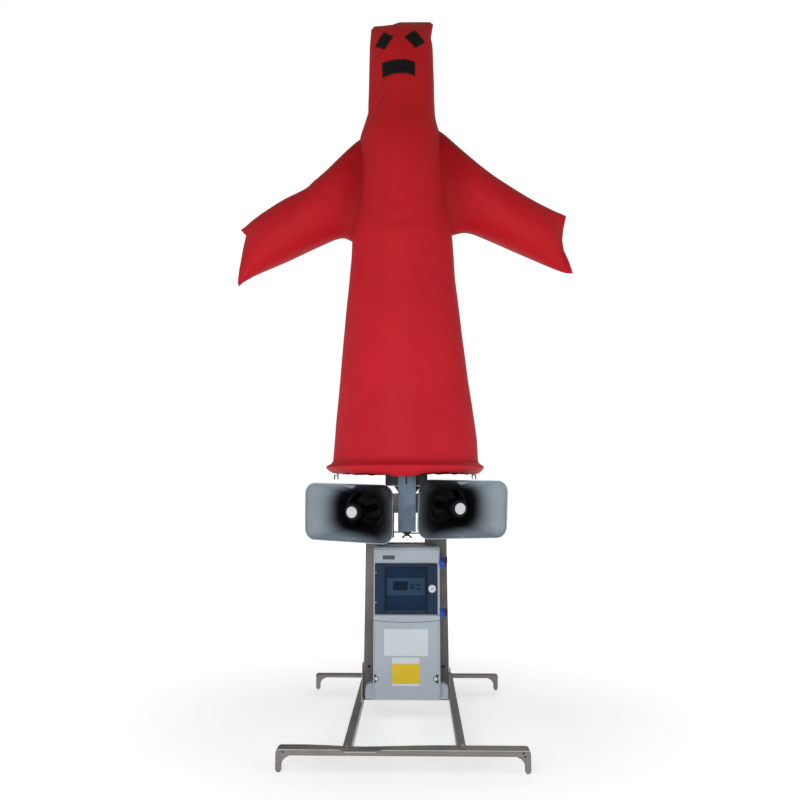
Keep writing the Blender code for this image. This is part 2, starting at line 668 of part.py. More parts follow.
def panel_outline(half_width, low, high, radius):
    middle = (low + high) / 2
    return [(BOX_X + x, middle + z) for x, z in
            rounded_rectangle(half_width, (high - low) / 2, radius, 3)]


def make_control_box():
    half = BOX_WIDTH / 2
    base = prism("box_base", panel_outline(half - 0.002, BOX_LOW + 0.002, BOX_HIGH - 0.002, 0.008),
                 BOX_SEAM + GAP, BOX_BACK, "Y", "light grey plastic")
    cut(base, prism("base_inside", panel_outline(half - 0.002 - BOX_WALL, BOX_LOW + 0.005,
                                                 BOX_HIGH - 0.005, 0.006),
                    BOX_SEAM - 0.01, BOX_BACK - BOX_WALL, "Y"))
    cover = tube_mesh([[(x, y, z) for x, z in panel_outline(half - inset, BOX_LOW + inset, BOX_HIGH - inset, 0.010)]
                       for y, inset in ((BOX_SEAM, 0.0), (BOX_FRONT + 0.006, 0.0), (BOX_FRONT, 0.0045))],
                      cap_start=True, cap_end=True)
    cover = add_object("box_cover", cover, "light grey plastic")
    for side in (-1, 1):
        lug = [(half - 0.001, BOX_LOW + 0.0005), (half + LUG_WIDTH, BOX_LOW + 0.0005)]
        lug += arc((half + LUG_WIDTH - 0.018, BOX_LOW + LUG_HEIGHT - 0.018), 0.018, 0, 90, 4)
        lug += [(half - 0.001, BOX_LOW + LUG_HEIGHT)]
        lug = [(BOX_X + side * x, z) for x, z in lug]
        fuse(cover, prism(f"cover_lug_{side + 1}", lug, BOX_FRONT + 0.018, BOX_SEAM - GAP, "Y"))
    x0, x1, z0, z1 = WINDOW
    v0, v1, w0, w1 = WINDOW_VIEW
    floor = BOX_FRONT - DOOR_PROUD + DOOR_THICK + GAP
    cut(cover,
        prism("cover_inside", panel_outline(half - BOX_WALL, BOX_LOW + BOX_WALL, BOX_HIGH - BOX_WALL, 0.008),
              BOX_FRONT + 0.007, BOX_SEAM + 0.01, "Y"),
        box("window_recess", (x0 - 0.001, BOX_FRONT - 0.01, z0 - 0.001), (x1 + 0.001, floor, z1 + 0.001)),
        box("window_hole", (v0, BOX_FRONT - 0.01, w0), (v1, BOX_SEAM + 0.02, w1)))
    make_window(x0, x1, z0, z1, floor)
    make_box_front()
    make_sockets()


def make_window(x0, x1, z0, z1, floor):
    front = BOX_FRONT - DOOR_PROUD
    box("window_door", (x0, front, z0), (x1, floor - GAP, z1), "smoked window", bevel=0.0008)
    face_out = Matrix.Rotation(math.radians(90), 4, "X")
    knob_at = Matrix.Translation((0.0826, front - GAP, 0.4168)) @ face_out
    knob = lathe("door_lock", disc_profile(0.0116, 0.0, 0.0040, 0.0010), knob_at, "white plastic", steps=20)
    grip = box("lock_slot", (0.0826 - 0.0070, front - 0.010, 0.4168 - 0.0012),
               (0.0826 + 0.0070, front - 0.0030, 0.4168 + 0.0012))
    cut(knob, grip)
    v0, v1, w0, w1 = WINDOW_VIEW
    panel_y = BOX_FRONT + 0.024
    panel = box("inner_panel", (v0 - 0.004, panel_y, w0 - 0.004), (v1 + 0.004, panel_y + 0.002, w1 + 0.004),
                "dark panel")
    device = (-0.0551, 0.0618, 0.3926, 0.4461)
    cut(panel, box("device_hole", (device[0] - GAP, panel_y - 0.01, device[2] - GAP),
                   (device[1] + GAP, panel_y + 0.01, device[3] + GAP)))
    box("timer_unit", (device[0], panel_y - 0.004, device[2]), (device[1], panel_y + 0.030, device[3]),
        "dark grey panel", bevel=0.0008)
    box("timer_screen", (-0.0352, panel_y - 0.0058, 0.4086), (0.0088, panel_y - 0.0043, 0.4357), "black plastic")


def make_box_front():
    """The blank labels and the two cover screws."""
    front = BOX_FRONT - GAP
    box("label_white", (-0.0620, front - 0.0006, 0.2191), (0.0695, front, 0.2973), "white plastic")
    box("label_yellow", (-0.0379, front - 0.0006, 0.1395), (0.0440, front, 0.1955), "yellow label")
    face_out = Matrix.Rotation(math.radians(90), 4, "X")
    for name, x in (("left", -0.0844), ("right", 0.0916)):
        lathe(f"cover_screw_{name}", disc_profile(0.0055, 0.0, 0.0018, 0.0005),
              Matrix.Translation((x, front, 0.1528)) @ face_out, "white plastic", steps=12)


def make_sockets():
    """Two blue cable sockets on the right side of the box, each with its black cap."""
    side = BOX_X + BOX_WIDTH / 2 + GAP
    across = Matrix.Rotation(math.radians(90), 4, "Y")
    for name, z, radius in (("upper", 0.4910, 0.0215), ("lower", 0.3430, 0.0178)):
        at = Matrix.Translation((side, BOX_FRONT + 0.022, z)) @ across
        lathe(f"socket_{name}", ((0.0, 0.0), (radius, 0.0), (radius, 0.0035), (radius * 0.72, 0.005),
                                 (radius * 0.72, 0.0155), (0.0, 0.0155)), at, "blue plastic", steps=18)
        lathe(f"socket_cap_{name}", disc_profile(radius * 0.62, 0.0155 + GAP, 0.0205, 0.0015), at,
              "black plastic", steps=16)


def horn_matrix(horn):
    """Local +Z points out of the mouth, +X along its width towards the post's right, +Y up."""
    side = horn["side"]
    forward = Vector((side * math.sin(HORN_TURN) * math.cos(HORN_PITCH),
                      -math.cos(HORN_TURN) * math.cos(HORN_PITCH), -math.sin(HORN_PITCH)))
    across = Vector((math.cos(HORN_TURN), side * math.sin(HORN_TURN), 0.0))
    up = forward.cross(across)
    turn = Matrix((across, up, forward)).transposed().to_4x4()
    roll = Matrix.Rotation(math.radians(-horn["roll"]), 4, "Z")
    return Matrix.Translation((horn["x"], horn["y"], horn["z"])) @ turn @ roll


def make_horn(name, horn):
    at = horn_matrix(horn)
    rings = [[(x, y, -depth) for x, y in rounded_rectangle(w, h, r, 5)] for depth, w, h, r in HORN_SECTIONS]
    inner = [[(x, y, -depth) for x, y in
              rounded_rectangle(w - HORN_WALL, h - HORN_WALL, r - HORN_WALL, 5)]
             for depth, w, h, r in HORN_SECTIONS]
    flare = tube_mesh(rings + list(reversed(inner)) + [rings[0]])
    bmesh.ops.remove_doubles(flare, verts=flare.verts, dist=1e-6)
    bmesh.ops.transform(flare, matrix=at, verts=flare.verts)
    add_object(f"horn_flare_{name}", flare, "grey horn plastic", smooth=True)
    front = -HORN_SECTIONS[-1][0] - GAP
    bell = lathe(f"horn_bell_{name}", ((0.0, -0.201), (0.034, -0.200), (0.058, -0.187), (0.071, -0.168),
                                       (BELL_RADIUS, -0.145), (BELL_RADIUS, front), (0.058, front),
                                       (0.066, -0.145), (0.056, -0.172), (0.030, -0.183), (0.0, -0.184)),
                 at, "black plastic", steps=24)
    pivot = at @ Matrix.Translation((0, 0, -PIVOT_BACK))
    roll_back = Matrix.Rotation(math.radians(horn["roll"]), 4, "Z")
    across = pivot @ roll_back @ Matrix.Rotation(math.radians(90), 4, "Y")
    for side in (-1, 1):
        stub = disc_profile(0.0040, side * (BELL_RADIUS - 0.006), side * (BELL_RADIUS + 0.0055))
        fuse(bell, lathe(f"pivot_stub_{name}_{side + 1}", stub, across, steps=12))
    lathe(f"horn_plug_{name}", ((0.0, -0.182), (0.012, -0.182), (0.012, -0.110), (0.0285, -0.070),
                                (0.0285, -0.034), (0.023, -0.026), (0.0, -0.026)), at, "black plastic", steps=20)
    lathe(f"horn_disc_{name}", disc_profile(0.017, -0.026 + GAP, -0.0235, 0.0006), at, "white plastic", steps=20)


def make_yoke(name, horn):
    """A steel yoke that holds the bell at its tilt pivots, with an arm that runs under the post."""
    side = horn["side"]
    turn = Matrix.Rotation(side * HORN_TURN, 4, "Z")
    pivot = horn_matrix(horn) @ Vector((0, 0, -PIVOT_BACK))
    inside = BELL_RADIUS + 0.0010
    outside = inside + SHEET
    low = -0.0880
    high = 0.0120
    outline = [(-outside, high), (-outside, low), (outside, low), (outside, high), (inside, high),
               (inside, low + SHEET), (-inside, low + SHEET), (-inside, high)]
    place = Matrix.Translation(pivot) @ turn
    yoke = prism_mesh(outline, -0.011, 0.011, "Y")
    bmesh.ops.transform(yoke, matrix=place, verts=yoke.verts)
    yoke = add_object(f"horn_yoke_{name}", yoke, "black steel")
    hole = lathe(f"pivot_hole_{name}", disc_profile(0.0044, -0.1, 0.1), place @ Matrix.Rotation(
        math.radians(90), 4, "Y"), steps=12)
    screw = Vector((POST_X, POST_FRONT + POST_DEPTH / 2, horn["arm_z"]))
    start = place @ Vector((-side * (outside - 0.0010), 0, 0))
    arm_turn = math.atan2(start.y - screw.y, start.x - screw.x)
    length = (Vector((start.x, start.y)) - Vector((screw.x, screw.y))).length
    arm = box_mesh((-0.010, -0.010, 0.0), (length, 0.010, 0.003))
    bmesh.ops.transform(arm, matrix=Matrix.Translation(screw) @ Matrix.Rotation(arm_turn, 4, "Z"),
                        verts=arm.verts)
    arm_name = f"yoke_arm_{name}"
    fuse(yoke, add_object(arm_name, arm))
    cut(yoke, hole)


def add_pivot(name, place, parent=None):
    """An empty on a joint's axis."""
    pivot = bpy.data.objects.new(name, None)
    pivot.empty_display_size = 0.02
    bpy.context.scene.collection.objects.link(pivot)
    pivot.location = place
    bpy.context.view_layer.update()
    if parent:
        hang(pivot, parent)
    return pivot


def hang(obj, parent):
    """Parents an object and leaves it where it is."""
    obj.parent = parent
    obj.matrix_parent_inverse = parent.matrix_world.inverted()
    bpy.context.view_layer.update()


def add_pivots():
    """Each moving piece hangs on an empty on its joint's axis."""
    front = BOX_FRONT - DOOR_PROUD
    middle = (WINDOW[2] + WINDOW[3]) / 2
    hinge = add_pivot("window_hinge", (WINDOW[0], front, middle))
    hang(bpy.data.objects["window_door"], hinge)
    lock = add_pivot("lock_axis", (0.0826, front, 0.4168), hinge)
    hang(bpy.data.objects["door_lock"], lock)
    hang(bpy.data.objects["fan_rotor"], add_pivot("fan_axis", (FAN_X, 0.0, FAN_LOW + 0.02)))
    for name, horn in HORNS.items():
        swivel = add_pivot(f"horn_swivel_{name}", (POST_X, POST_FRONT + POST_DEPTH / 2, horn["arm_z"]))
        hang(bpy.data.objects[f"horn_yoke_{name}"], swivel)
        tilt = add_pivot(f"horn_tilt_{name}", horn_matrix(horn) @ Vector((0, 0, -PIVOT_BACK)), swivel)
        for piece in ("flare", "bell", "plug", "disc"):
            hang(bpy.data.objects[f"horn_{piece}_{name}"], tilt)


def main():
    clear_scene()
    make_cloth()
    make_face()
    make_floor_frame()
    make_uprights()
    make_fan()
    make_disc_and_post()
    make_control_box()
    for name, horn in HORNS.items():
        make_horn(name, horn)
        make_yoke(name, horn)
    add_pivots()
    for obj in bpy.data.objects:
        if obj.parent is None:
            obj.location.y -= (BAR_FRONT + BAR_REAR) / 2


main()
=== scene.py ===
"""Looks of a fan-blown nylon scarecrow on a steel stand, with horn loudspeakers and a control box.

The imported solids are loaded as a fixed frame. Cloth, patches and horn flares are replaced by finer
pieces, small fittings are added to the stand and the box, and every surface gets its own finish.
Metres, +Z up, the figure faces -Y.
"""

import math

import bmesh
import bpy
from bpy.props import FloatProperty, FloatVectorProperty, IntProperty, PointerProperty
from mathutils import Matrix, Vector, noise


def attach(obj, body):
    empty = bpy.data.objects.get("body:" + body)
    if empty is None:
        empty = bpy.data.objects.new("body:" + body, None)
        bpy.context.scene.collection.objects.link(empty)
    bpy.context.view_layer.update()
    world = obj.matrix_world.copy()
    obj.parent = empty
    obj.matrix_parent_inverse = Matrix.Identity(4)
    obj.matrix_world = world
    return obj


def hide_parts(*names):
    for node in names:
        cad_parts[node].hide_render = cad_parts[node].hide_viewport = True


bl_info = {
    "name": "Inflatable scarecrow",
    "version": (1, 0, 0),
    "blender": (4, 5, 0),
    "location": "View3D > Sidebar > Scarecrow",
    "description": "Makes the cloth, fittings, finishes and stage of an inflatable scarecrow",
    "category": "Object",
}

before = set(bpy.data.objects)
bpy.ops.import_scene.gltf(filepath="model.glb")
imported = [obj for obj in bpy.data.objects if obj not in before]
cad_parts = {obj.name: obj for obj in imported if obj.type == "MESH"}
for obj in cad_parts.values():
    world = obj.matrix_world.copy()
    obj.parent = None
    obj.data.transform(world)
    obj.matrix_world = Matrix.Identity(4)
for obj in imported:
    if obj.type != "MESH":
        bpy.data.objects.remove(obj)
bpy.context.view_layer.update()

AXIS_Y = 0.0175
SIDES = {"left": -1, "right": 1}


def in_metres(rows, *unscaled):
    """Rows given in millimetres, in metres; the columns named by number hold no length and stay as given."""
    return tuple(tuple(value if k in unscaled else round(value / 1000, 7) for k, value in enumerate(row))
                 for row in rows)


# The figure, in millimetres: one row for each section up the body, from the hem to the top seam
BODY_ROWS = in_metres((
    # z, centre x, half width, half depth, squareness
    (762, 1, 224.5, 224.5, 2.0), (769, 0.5, 239, 239, 2.0), (778, 0, 248.5, 248.5, 2.0),
    (783, 0, 250.7, 250.7, 2.0), (788, 0.5, 245, 245, 2.0), (794, 1, 234.5, 234.5, 2.0),
    (802, 1.5, 230, 230, 2.0), (870.1, 3, 226, 226, 2.0), (934.3, 0.6, 220.1, 220.1, 2.0),
    (1000, -1.2, 212.5, 212.5, 2.0), (1063.8, -3, 205, 205, 2.0), (1130, -4.5, 198.4, 198.4, 2.0),
    (1194.6, -6.1, 191.6, 191.6, 2.0), (1260, -6.6, 185.2, 185.2, 2.0), (1326.8, -7.2, 178.8, 178.8, 2.0),
    (1393.5, -8.1, 172.1, 172.1, 2.0), (1460.5, -7.2, 167.5, 167.5, 2.0), (1530, -8.5, 164, 164, 2.0),
    (1590, -8.2, 154, 156, 2.0), (1650, -7.5, 147, 152, 2.0), (1710, -7.5, 144, 150, 2.0),
    (1770, -9.5, 141.5, 147, 2.0), (1825, -12.5, 139, 142, 2.0), (1870, -14, 135, 135, 2.0),
    (1905, -13.8, 124, 126, 2.0), (1940, -13, 115, 118, 2.0), (1975, -11.6, 111.9, 113.5, 2.0),
    (2010, -11.3, 110.6, 111, 2.0), (2045, -11.1, 109.6, 109.5, 2.0), (2115.6, -11.3, 107.4, 105, 2.1),
    (2160, -11.4, 106.4, 99, 2.1), (2195, -11.8, 105.6, 88, 2.2), (2222.3, -13.7, 101.8, 74, 2.2),
    (2245, -12, 103, 53, 2.2), (2263, -10.5, 104, 29, 2.2), (2283, -4.9, 101.5, 3, 2.0),
), 4)
TOP_SEAM = ((-0.110, 0.0170), (-0.102, 0.0125), (-0.048, 0.0110), (-0.026, 0.0030), (-0.018, 0.0),
            (0.086, 0.0), (0.097, 0.0095))
BODY_FOLDS = in_metres((
    # z, angle round the body, lean, half length, half width, depth
    (2000, 146, 39, 70, 17, 8), (1545, 90, 2, 60, 20, 3.5), (1630, 18, 55, 50, 20, 5),
    (1300, 90, 90, 220, 14, 2),
), 1, 2)
FINE_FOLDS = in_metres((
    # z, angle round the body, lean, half length, half width, depth
    (1953, 136, 47, 46, 7.5, 12), (1958, 125, 24, 20, 3, -3.4), (1975, 118, 48, 22, 3, 3),
    (1935, 142, 50, 22, 3, -2.2), (1496, 62, 8, 50, 4.5, 2), (1487, 70, 5, 45, 4, -1),
    (1333, 103, 21, 34, 4.2, 1.8), (1318, 57, 10, 14, 4, 1.4), (1273, 58, -30, 10, 4, 1.4),
    (1202, 62, 8, 12, 4.5, 1.4), (1092, 56, 10, 14, 4, 1.4), (1107, 33, -12, 16, 4.5, 1.6),
    (815, 88, 4, 110, 6, 3), (826, 82, 5, 70, 4.5, -1.6), (910, 88, 90, 100, 3, 0.9),
    (1560, 200, 12, 70, 6, 1.6), (1450, 250, -8, 80, 7, 1.6), (1050, 300, 10, 90, 8, 1.4),
    (1720, 270, 75, 90, 8, 1.8), (980, 230, 80, 80, 6, 1.2),
), 1, 2)
HEM_SAG = 0.011
HEM_SAG_WIDTH = 14.0
HEM_SEAM = 0.7990
HEM_STITCHES = 300
BODY_SEGMENTS = 168

SLEEVE_ROWS = {
    # upper edge x and z, lower edge x and z, half depth, from the root to the end seam
    "left": in_metres((
        (-85.1, 1907.6, -96, 1474, 70), (-149.6, 1870.7, -173, 1523, 72),
        (-195.8, 1825.6, -209, 1541, 86), (-263.2, 1753, -284.7, 1507.8, 94),
        (-298, 1724, -313, 1495, 94), (-317, 1702, -337, 1483.5, 92), (-348.4, 1686, -374.3, 1465, 90),
        (-396.3, 1663.8, -416.7, 1445.4, 83), (-444.1, 1634, -457.9, 1426.8, 73),
        (-483.1, 1608.8, -492.9, 1410.5, 58), (-510, 1589.8, -513, 1398, 40),
        (-526, 1575.5, -533, 1385, 20), (-542, 1564, -543, 1373, 3),
    )),
    "right": in_metres((
        (62.1, 1927.6, 80, 1515, 70), (122.2, 1893.5, 160, 1544, 72), (172.4, 1842, 205, 1554.5, 86),
        (233.5, 1784.5, 267.9, 1529.1, 94), (284.4, 1741.6, 309.6, 1510.2, 94),
        (330.4, 1710, 351.6, 1490.3, 90), (380.3, 1677.5, 398.7, 1468.7, 83),
        (430.1, 1648, 441.9, 1448, 73), (470, 1629, 476, 1431.6, 58), (497, 1617, 502, 1419.8, 40),
        (512, 1612, 524, 1412, 20), (529, 1604, 547, 1411, 3),
    )),
}
SLEEVE_ENDS = {
    # share of the way down the end seam, and how far the seam lies inside the line between its ears
    "left": ((0.0, 0.0), (0.10, 0.0185), (0.35, 0.0095), (0.72, -0.0010), (0.94, -0.0050), (1.0, 0.0)),
    "right": ((0.0, 0.0), (0.24, 0.0150), (0.42, 0.0225), (0.60, 0.0215), (0.77, 0.0100), (1.0, 0.0)),
}
SLEEVE_FOLDS = {
    # x, z, lean, half length, half width, depth, on the front of the sleeve
    "left": in_metres((
        (-285, 1722, -42, 30, 6, 5), (-250, 1655, -35, 50, 6, 3.4), (-345, 1650, 30, 45, 5, 1.6),
        (-430, 1560, 20, 50, 5, 1.6), (-490, 1530, 60, 40, 5, 2),
    ), 2),
    "right": in_metres((
        (225, 1600, 52, 42, 5, 6.2), (245, 1580, 30, 35, 4.5, 4.6), (330, 1640, -28, 50, 5, 1.4),
        (420, 1570, -25, 50, 5, 1.4), (505, 1530, -60, 35, 5, 3),
    ), 2),
}
SLEEVE_SEGMENTS = 88
SLEEVE_STEPS = 96

FACE_PATCHES = {
    # corners, x and z
    "eye_left": in_metres((
        (-68, 2205.2), (-36.2, 2178.1), (-64.7, 2134.3), (-97.2, 2160.1))),
    "eye_right": in_metres((
        (33.1, 2210.2), (67.4, 2170.4), (36.2, 2137.8), (0.5, 2174.4))),
    "mouth": in_metres((
        (-72.8, 2088.6), (-34.1, 2091.8), (2.2, 2092.3), (34.5, 2088), (34.4, 2039), (3.9, 2044.1),
        (-34, 2043.6), (-70.9, 2038.4))),
}

HORN_TURN = math.radians(22.0)
HORN_PITCH = math.radians(3.5)
HORN_WALL = 0.003
HORNS = {
    "left": {"x": -0.1660, "y": -0.1615, "z": 0.6446, "roll": 1.7},
    "right": {"x": 0.1752, "y": -0.1615, "z": 0.6552, "roll": 0.6},
}
HORN_SECTIONS = in_metres((
    # depth behind the mouth, half width, half height, corner radius
    (0, 145, 86, 34), (7, 142.8, 84.5, 34), (20, 126.5, 76.5, 34), (36, 106, 68.5, 36),
    (58, 88, 60.5, 40), (87, 75, 55, 46), (117, 69, 53, 50),
))

BOX_FRONT = -0.0795
TIMER_KEYS = (
    # middle x and z, and half width, in millimetres
    (21.5, 416.5, 6.4), (19.5, 424.5, 3.6), (27.5, 423.5, 2.2), (37.3, 425, 2.8), (44.5, 425, 2.8),
    (36.8, 412.5, 2.8), (44.5, 412.5, 2.8),
)
STUDIO_LIGHTS = (
    # name, place, height it aims at, share of the key light, size
    ("front", (-0.5, -3.0, 1.35), 0.85, 1.0, 1.8),
    ("right", (3.0, -1.6, 1.9), 1.1, 0.42, 2.0),
    ("left", (-3.0, -1.0, 2.4), 1.1, 0.30, 2.0),
    ("back", (0.5, 3.2, 2.8), 1.2, 0.45, 2.4),
)
TO_FRONT = Matrix.Rotation(math.radians(90), 4, "X")


def colour(name, description, default):
    return FloatVectorProperty(name=name, description=description, subtype="COLOR", size=3,
                               min=0.0, max=1.0, default=default)


def length(name, description, default, low, high):
    return FloatProperty(name=name, description=description, unit="LENGTH", default=default,
                         min=low, max=high)


class ClothSettings(bpy.types.PropertyGroup):
    """Colours and sizes of the cloth and its patches."""

    red: colour("Nylon", "Colour of the figure's nylon", (0.480, 0.011, 0.020))
    black: colour("Patches", "Colour of the sewn face patches", (0.006, 0.006, 0.007))
    thickness: length("Cloth thickness", "Thickness of the cloth as modelled", 0.0014, 0.0004, 0.003)
    weave: length("Weave", "Distance between the heavier threads of the weave", 0.004, 0.0005, 0.01)
    buckle: length("Buckle", "Height of the small unevenness of the blown-up cloth", 0.0009, 0.0, 0.004)


class HornSettings(bpy.types.PropertyGroup):
    """Colours and sizes of the horn loudspeakers."""

    grey: colour("Flare", "Colour of the moulded flares", (0.235, 0.285, 0.330))
    # Painted shade: the dark colour that the flares fade to towards their throats.
    throat: colour("Throat shade", "Painted shade deep inside the flares", (0.0035, 0.0038, 0.0060))
    corner_steps: IntProperty(name="Corner steps", description="Edges round each corner of a flare",
                              min=3, max=16, default=8)


class StandSettings(bpy.types.PropertyGroup):
    """Colours and sizes of the steel stand."""

    steel: colour("Steel", "Colour of the brushed stainless steel", (0.235, 0.222, 0.208))
    bolt_radius: length("Bolt radius", "Half the width of a bolt's hexagon head", 0.0052, 0.002, 0.012)


class BoxSettings(bpy.types.PropertyGroup):
    """Colours of the control box."""

    shell: colour("Shell", "Colour of the moulded box", (0.375, 0.430, 0.485))
    window: colour("Window", "Tint of the smoked window", (0.004, 0.018, 0.048))


class StageSettings(bpy.types.PropertyGroup):
    """Light and camera."""

    key: FloatProperty(name="Key light", description="Power of the large front light in watts",
                       min=0.0, max=2000.0, default=33.0)
    fill: FloatProperty(name="World light", description="Strength of the light from all round",
                        min=0.0, max=4.0, default=0.275)
    lens: FloatProperty(name="Lens", description="Focal length of the camera in millimetres",
                        min=10.0, max=200.0, default=36.0)


def scaled(tone, *shares):
    """A colour times one share, or times a share for each of red, green and blue."""
    return tuple(min(1.0, c * share) for c, share in zip(tone, shares * 3 if len(shares) == 1 else shares))


class Nodes:
    """Adds nodes to a tree; an input is set to a value, or linked when it is given another node's socket."""

    def __init__(self, tree):
        self.tree = tree

    def put(self, made, key, value):
        if isinstance(value, bpy.types.NodeSocket):
            self.tree.links.new(value, made.inputs[key])
        elif made.inputs[key].type == "RGBA":
            made.inputs[key].default_value = (*value[:3], 1.0)
        else:
            made.inputs[key].default_value = value

    def add(self, kind, inputs=None, out=0, **values):
        made = self.tree.nodes.new("ShaderNode" + kind)
        for key, value in values.items():
            setattr(made, key, value)
        for key, value in (inputs or {}).items():
            self.put(made, key, value)
        return made.outputs[out] if made.outputs else made

    def mix(self, factor, first, second):
        """A mix of two colours, each a colour or a socket."""
        return self.add("Mix", {0: factor, 6: first, 7: second}, 2, data_type="RGBA")

    def maths(self, operation, *numbers):
        return self.add("Math", dict(enumerate(numbers)), operation=operation)

    def spread(self, value, low, high, to_low=0.0, to_high=1.0, **values):
        """Maps a value from one range to another, held at both ends."""
        return self.add("MapRange", {0: value, 1: low, 2: high, 3: to_low, 4: to_high}, **values)


class Finish(Nodes):
    """A surface finish, patterned on the piece's own coordinates."""

    def __init__(self, name, gloss=0.5, metal=0.0):
        self.material = bpy.data.materials.new(name)
        self.material.use_nodes = True
        super().__init__(self.material.node_tree)
        self.shader = self.tree.nodes["Principled BSDF"]
        self.place = self.add("TexCoord", out="Object")
        self.put(self.shader, "Specular IOR Level", gloss)
        self.put(self.shader, "Metallic", metal)

    def cloud(self, scale, detail=2.0, roughness=0.5, distortion=0.0, place=None):
        where = self.place if place is None else place
        return self.add("TexNoise", {"Vector": where, "Scale": scale, "Detail": detail,
                                     "Roughness": roughness, "Distortion": distortion}, "Fac")

    def axis(self, name, place=None):
        return self.add("SeparateXYZ", {0: self.place if place is None else place}, name)

    def bump(self, height, distance, strength, under=None):
        inputs = {"Height": height, "Distance": distance, "Strength": strength}
        return self.add("Bump", inputs if under is None else {**inputs, "Normal": under})

    def done(self, tone, rough, normal=None):
        """Gives the material, with its colour, roughness and bump on the shader."""
        self.put(self.shader, "Base Color", tone)
        self.put(self.shader, "Roughness", rough)
        if normal is not None:
            self.put(self.shader, "Normal", normal)
        return self.material


def nylon(name, tone_of_cloth, weave, root=0.0):
    """Woven nylon: heavier threads both ways over a fine weave, with handling marks and soft creases.

    Painted shade darkens the cloth towards the top. With a root, painted shade also darkens it towards the
    seam where a sleeve joins the body, and towards its lower seam.
    """
    cloth = Finish(name, 0.12)
    flat = cloth.add("UVMap", uv_map="cut")
    ways = []
    for way in ("X", "Y"):
        heavy, thin = (cloth.add("TexWave", {"Vector": flat, "Scale": math.tau / (20 * weave / count)}, "Fac",
                                 bands_direction=way) for count in (1, 4))
        ways.append(cloth.maths("MULTIPLY_ADD", cloth.spread(heavy, 0.86, 1.0), 1.0,
                                cloth.maths("MULTIPLY", thin, 0.35)))
    threads = cloth.maths("MAXIMUM", *ways)
    small = cloth.cloud(22.0, 4.0, 0.6)
    tone = cloth.mix(cloth.spread(cloth.cloud(3.2, 3.0, 0.55), 0.32, 0.68),
                     scaled(tone_of_cloth, 0.90), scaled(tone_of_cloth, 1.10))
    # Painted shade: the cloth darkens from 1.10 m up to 1.95 m, towards the top.
    shade_towards_top = scaled(tone_of_cloth, 0.68, 0.55, 0.34)
    tone = cloth.mix(cloth.spread(cloth.axis("Z"), 1.10, 1.95), tone, shade_towards_top)
    if root:
        # Painted shade towards the root, where the sleeve joins the body.
        deep = cloth.spread(cloth.maths("ABSOLUTE", cloth.axis("X")), 0.13, 0.262, root, 0.0,
                            interpolation_type="SMOOTHSTEP")
        # Painted shade along the sleeve's lower seam, on its underside.
        from_seam = cloth.maths("ABSOLUTE", cloth.maths("SUBTRACT", cloth.axis("X", flat), 0.11 * math.pi))
        tone = cloth.mix(cloth.spread(from_seam, 0.03, 0.25, 0.80, 0.0), tone,
                         scaled(tone_of_cloth, 0.78, 0.10, 0.30))
        tone = cloth.mix(deep, tone, scaled(tone_of_cloth, 0.50, 0.08, 0.10))
    tone = cloth.mix(cloth.spread(small, 0.40, 0.75, 0.0, 0.16), tone, scaled(tone_of_cloth, 1.20))
    tone = cloth.mix(cloth.maths("MULTIPLY", threads, 0.14), tone, scaled(tone_of_cloth, 1.45))
    tone = cloth.mix(cloth.spread(cloth.cloud(900.0, 1.0), 0.62, 0.80, 0.0, 0.25), tone,
                     scaled(tone_of_cloth, 0.60))
    creases = cloth.bump(cloth.cloud(7.0, 5.0, 0.62, 0.7), 0.0045, 0.55)
    cloth.put(cloth.shader, "Sheen Weight", 0.02)
    cloth.put(cloth.shader, "Sheen Roughness", 0.45)
    return cloth.done(tone, cloth.spread(small, 0.3, 0.7, 0.50, 0.64),
                      cloth.bump(threads, 0.00012, 0.6, creases))


def moulded(name, tone_of_part, roughness=0.45, grain=1.0, soft=0.10, dusty=1.0, gloss=0.5, metal=0.0):
    """Moulded plastic with a fine grain, slight toning and a little dust."""
    part = Finish(name, gloss, metal)
    dust = part.cloud(60.0, 6.0, 0.72)
    tone = part.mix(part.spread(part.cloud(9.0, 4.0, 0.6), 0.3, 0.7),
                    scaled(tone_of_part, 1 - soft), scaled(tone_of_part, 1 + soft))
    pale = tuple(0.55 * c + 0.10 * dusty for c in tone_of_part[:3])
    tone = part.mix(part.spread(dust, 0.58, 0.82, 0.0, 0.30), tone, pale)
    rough = part.spread(dust, 0.3, 0.8, roughness - 0.06, roughness + 0.14)
    return part.done(tone, rough, part.bump(part.cloud(1400.0), 0.00010 * grain, 0.5))


def brushed(name, tone_of_steel, along="X"):
    """Brushed stainless steel: fine scratches along one axis, darker handling marks, dull patches."""
    steel = Finish(name, metal=1.0)
    stretch = steel.add("Mapping", {"Vector": steel.place,
                                    "Scale": [6.0 if way == along else 700.0 for way in "XYZ"]})
    hair = steel.cloud(1.0, 3.0, 0.7, place=stretch)
    marks = steel.cloud(11.0, 5.0, 0.62)
    tone = steel.mix(steel.spread(hair, 0.30, 0.70), scaled(tone_of_steel, 0.82), scaled(tone_of_steel, 1.18))
    tone = steel.mix(steel.spread(marks, 0.42, 0.72, 0.0, 0.45), tone,
                     scaled(tone_of_steel, 0.62, 0.60, 0.56))
    tone = steel.mix(steel.spread(steel.cloud(160.0, 3.0, 0.6), 0.66, 0.80, 0.0, 0.40), tone,
                     scaled(tone_of_steel, 0.45))
    rough = steel.maths("ADD", steel.spread(hair, 0.3, 0.7, 0.30, 0.42),
                        steel.spread(marks, 0.4, 0.75, 0.0, 0.12))
    return steel.done(tone, rough, steel.bump(hair, 0.00006, 0.5))


def painted_steel(name, tone_of_paint):
    """Black steel with brighter specks of wear."""
    paint = Finish(name, metal=0.6)
    wear = paint.cloud(120.0, 5.0, 0.7)
    tone = paint.mix(paint.spread(wear, 0.60, 0.75, 0.0, 0.6), tone_of_paint, (0.16, 0.15, 0.14))
    return paint.done(tone, paint.spread(wear, 0.3, 0.8, 0.52, 0.36),
                      paint.bump(paint.cloud(900.0), 0.00010, 0.4))


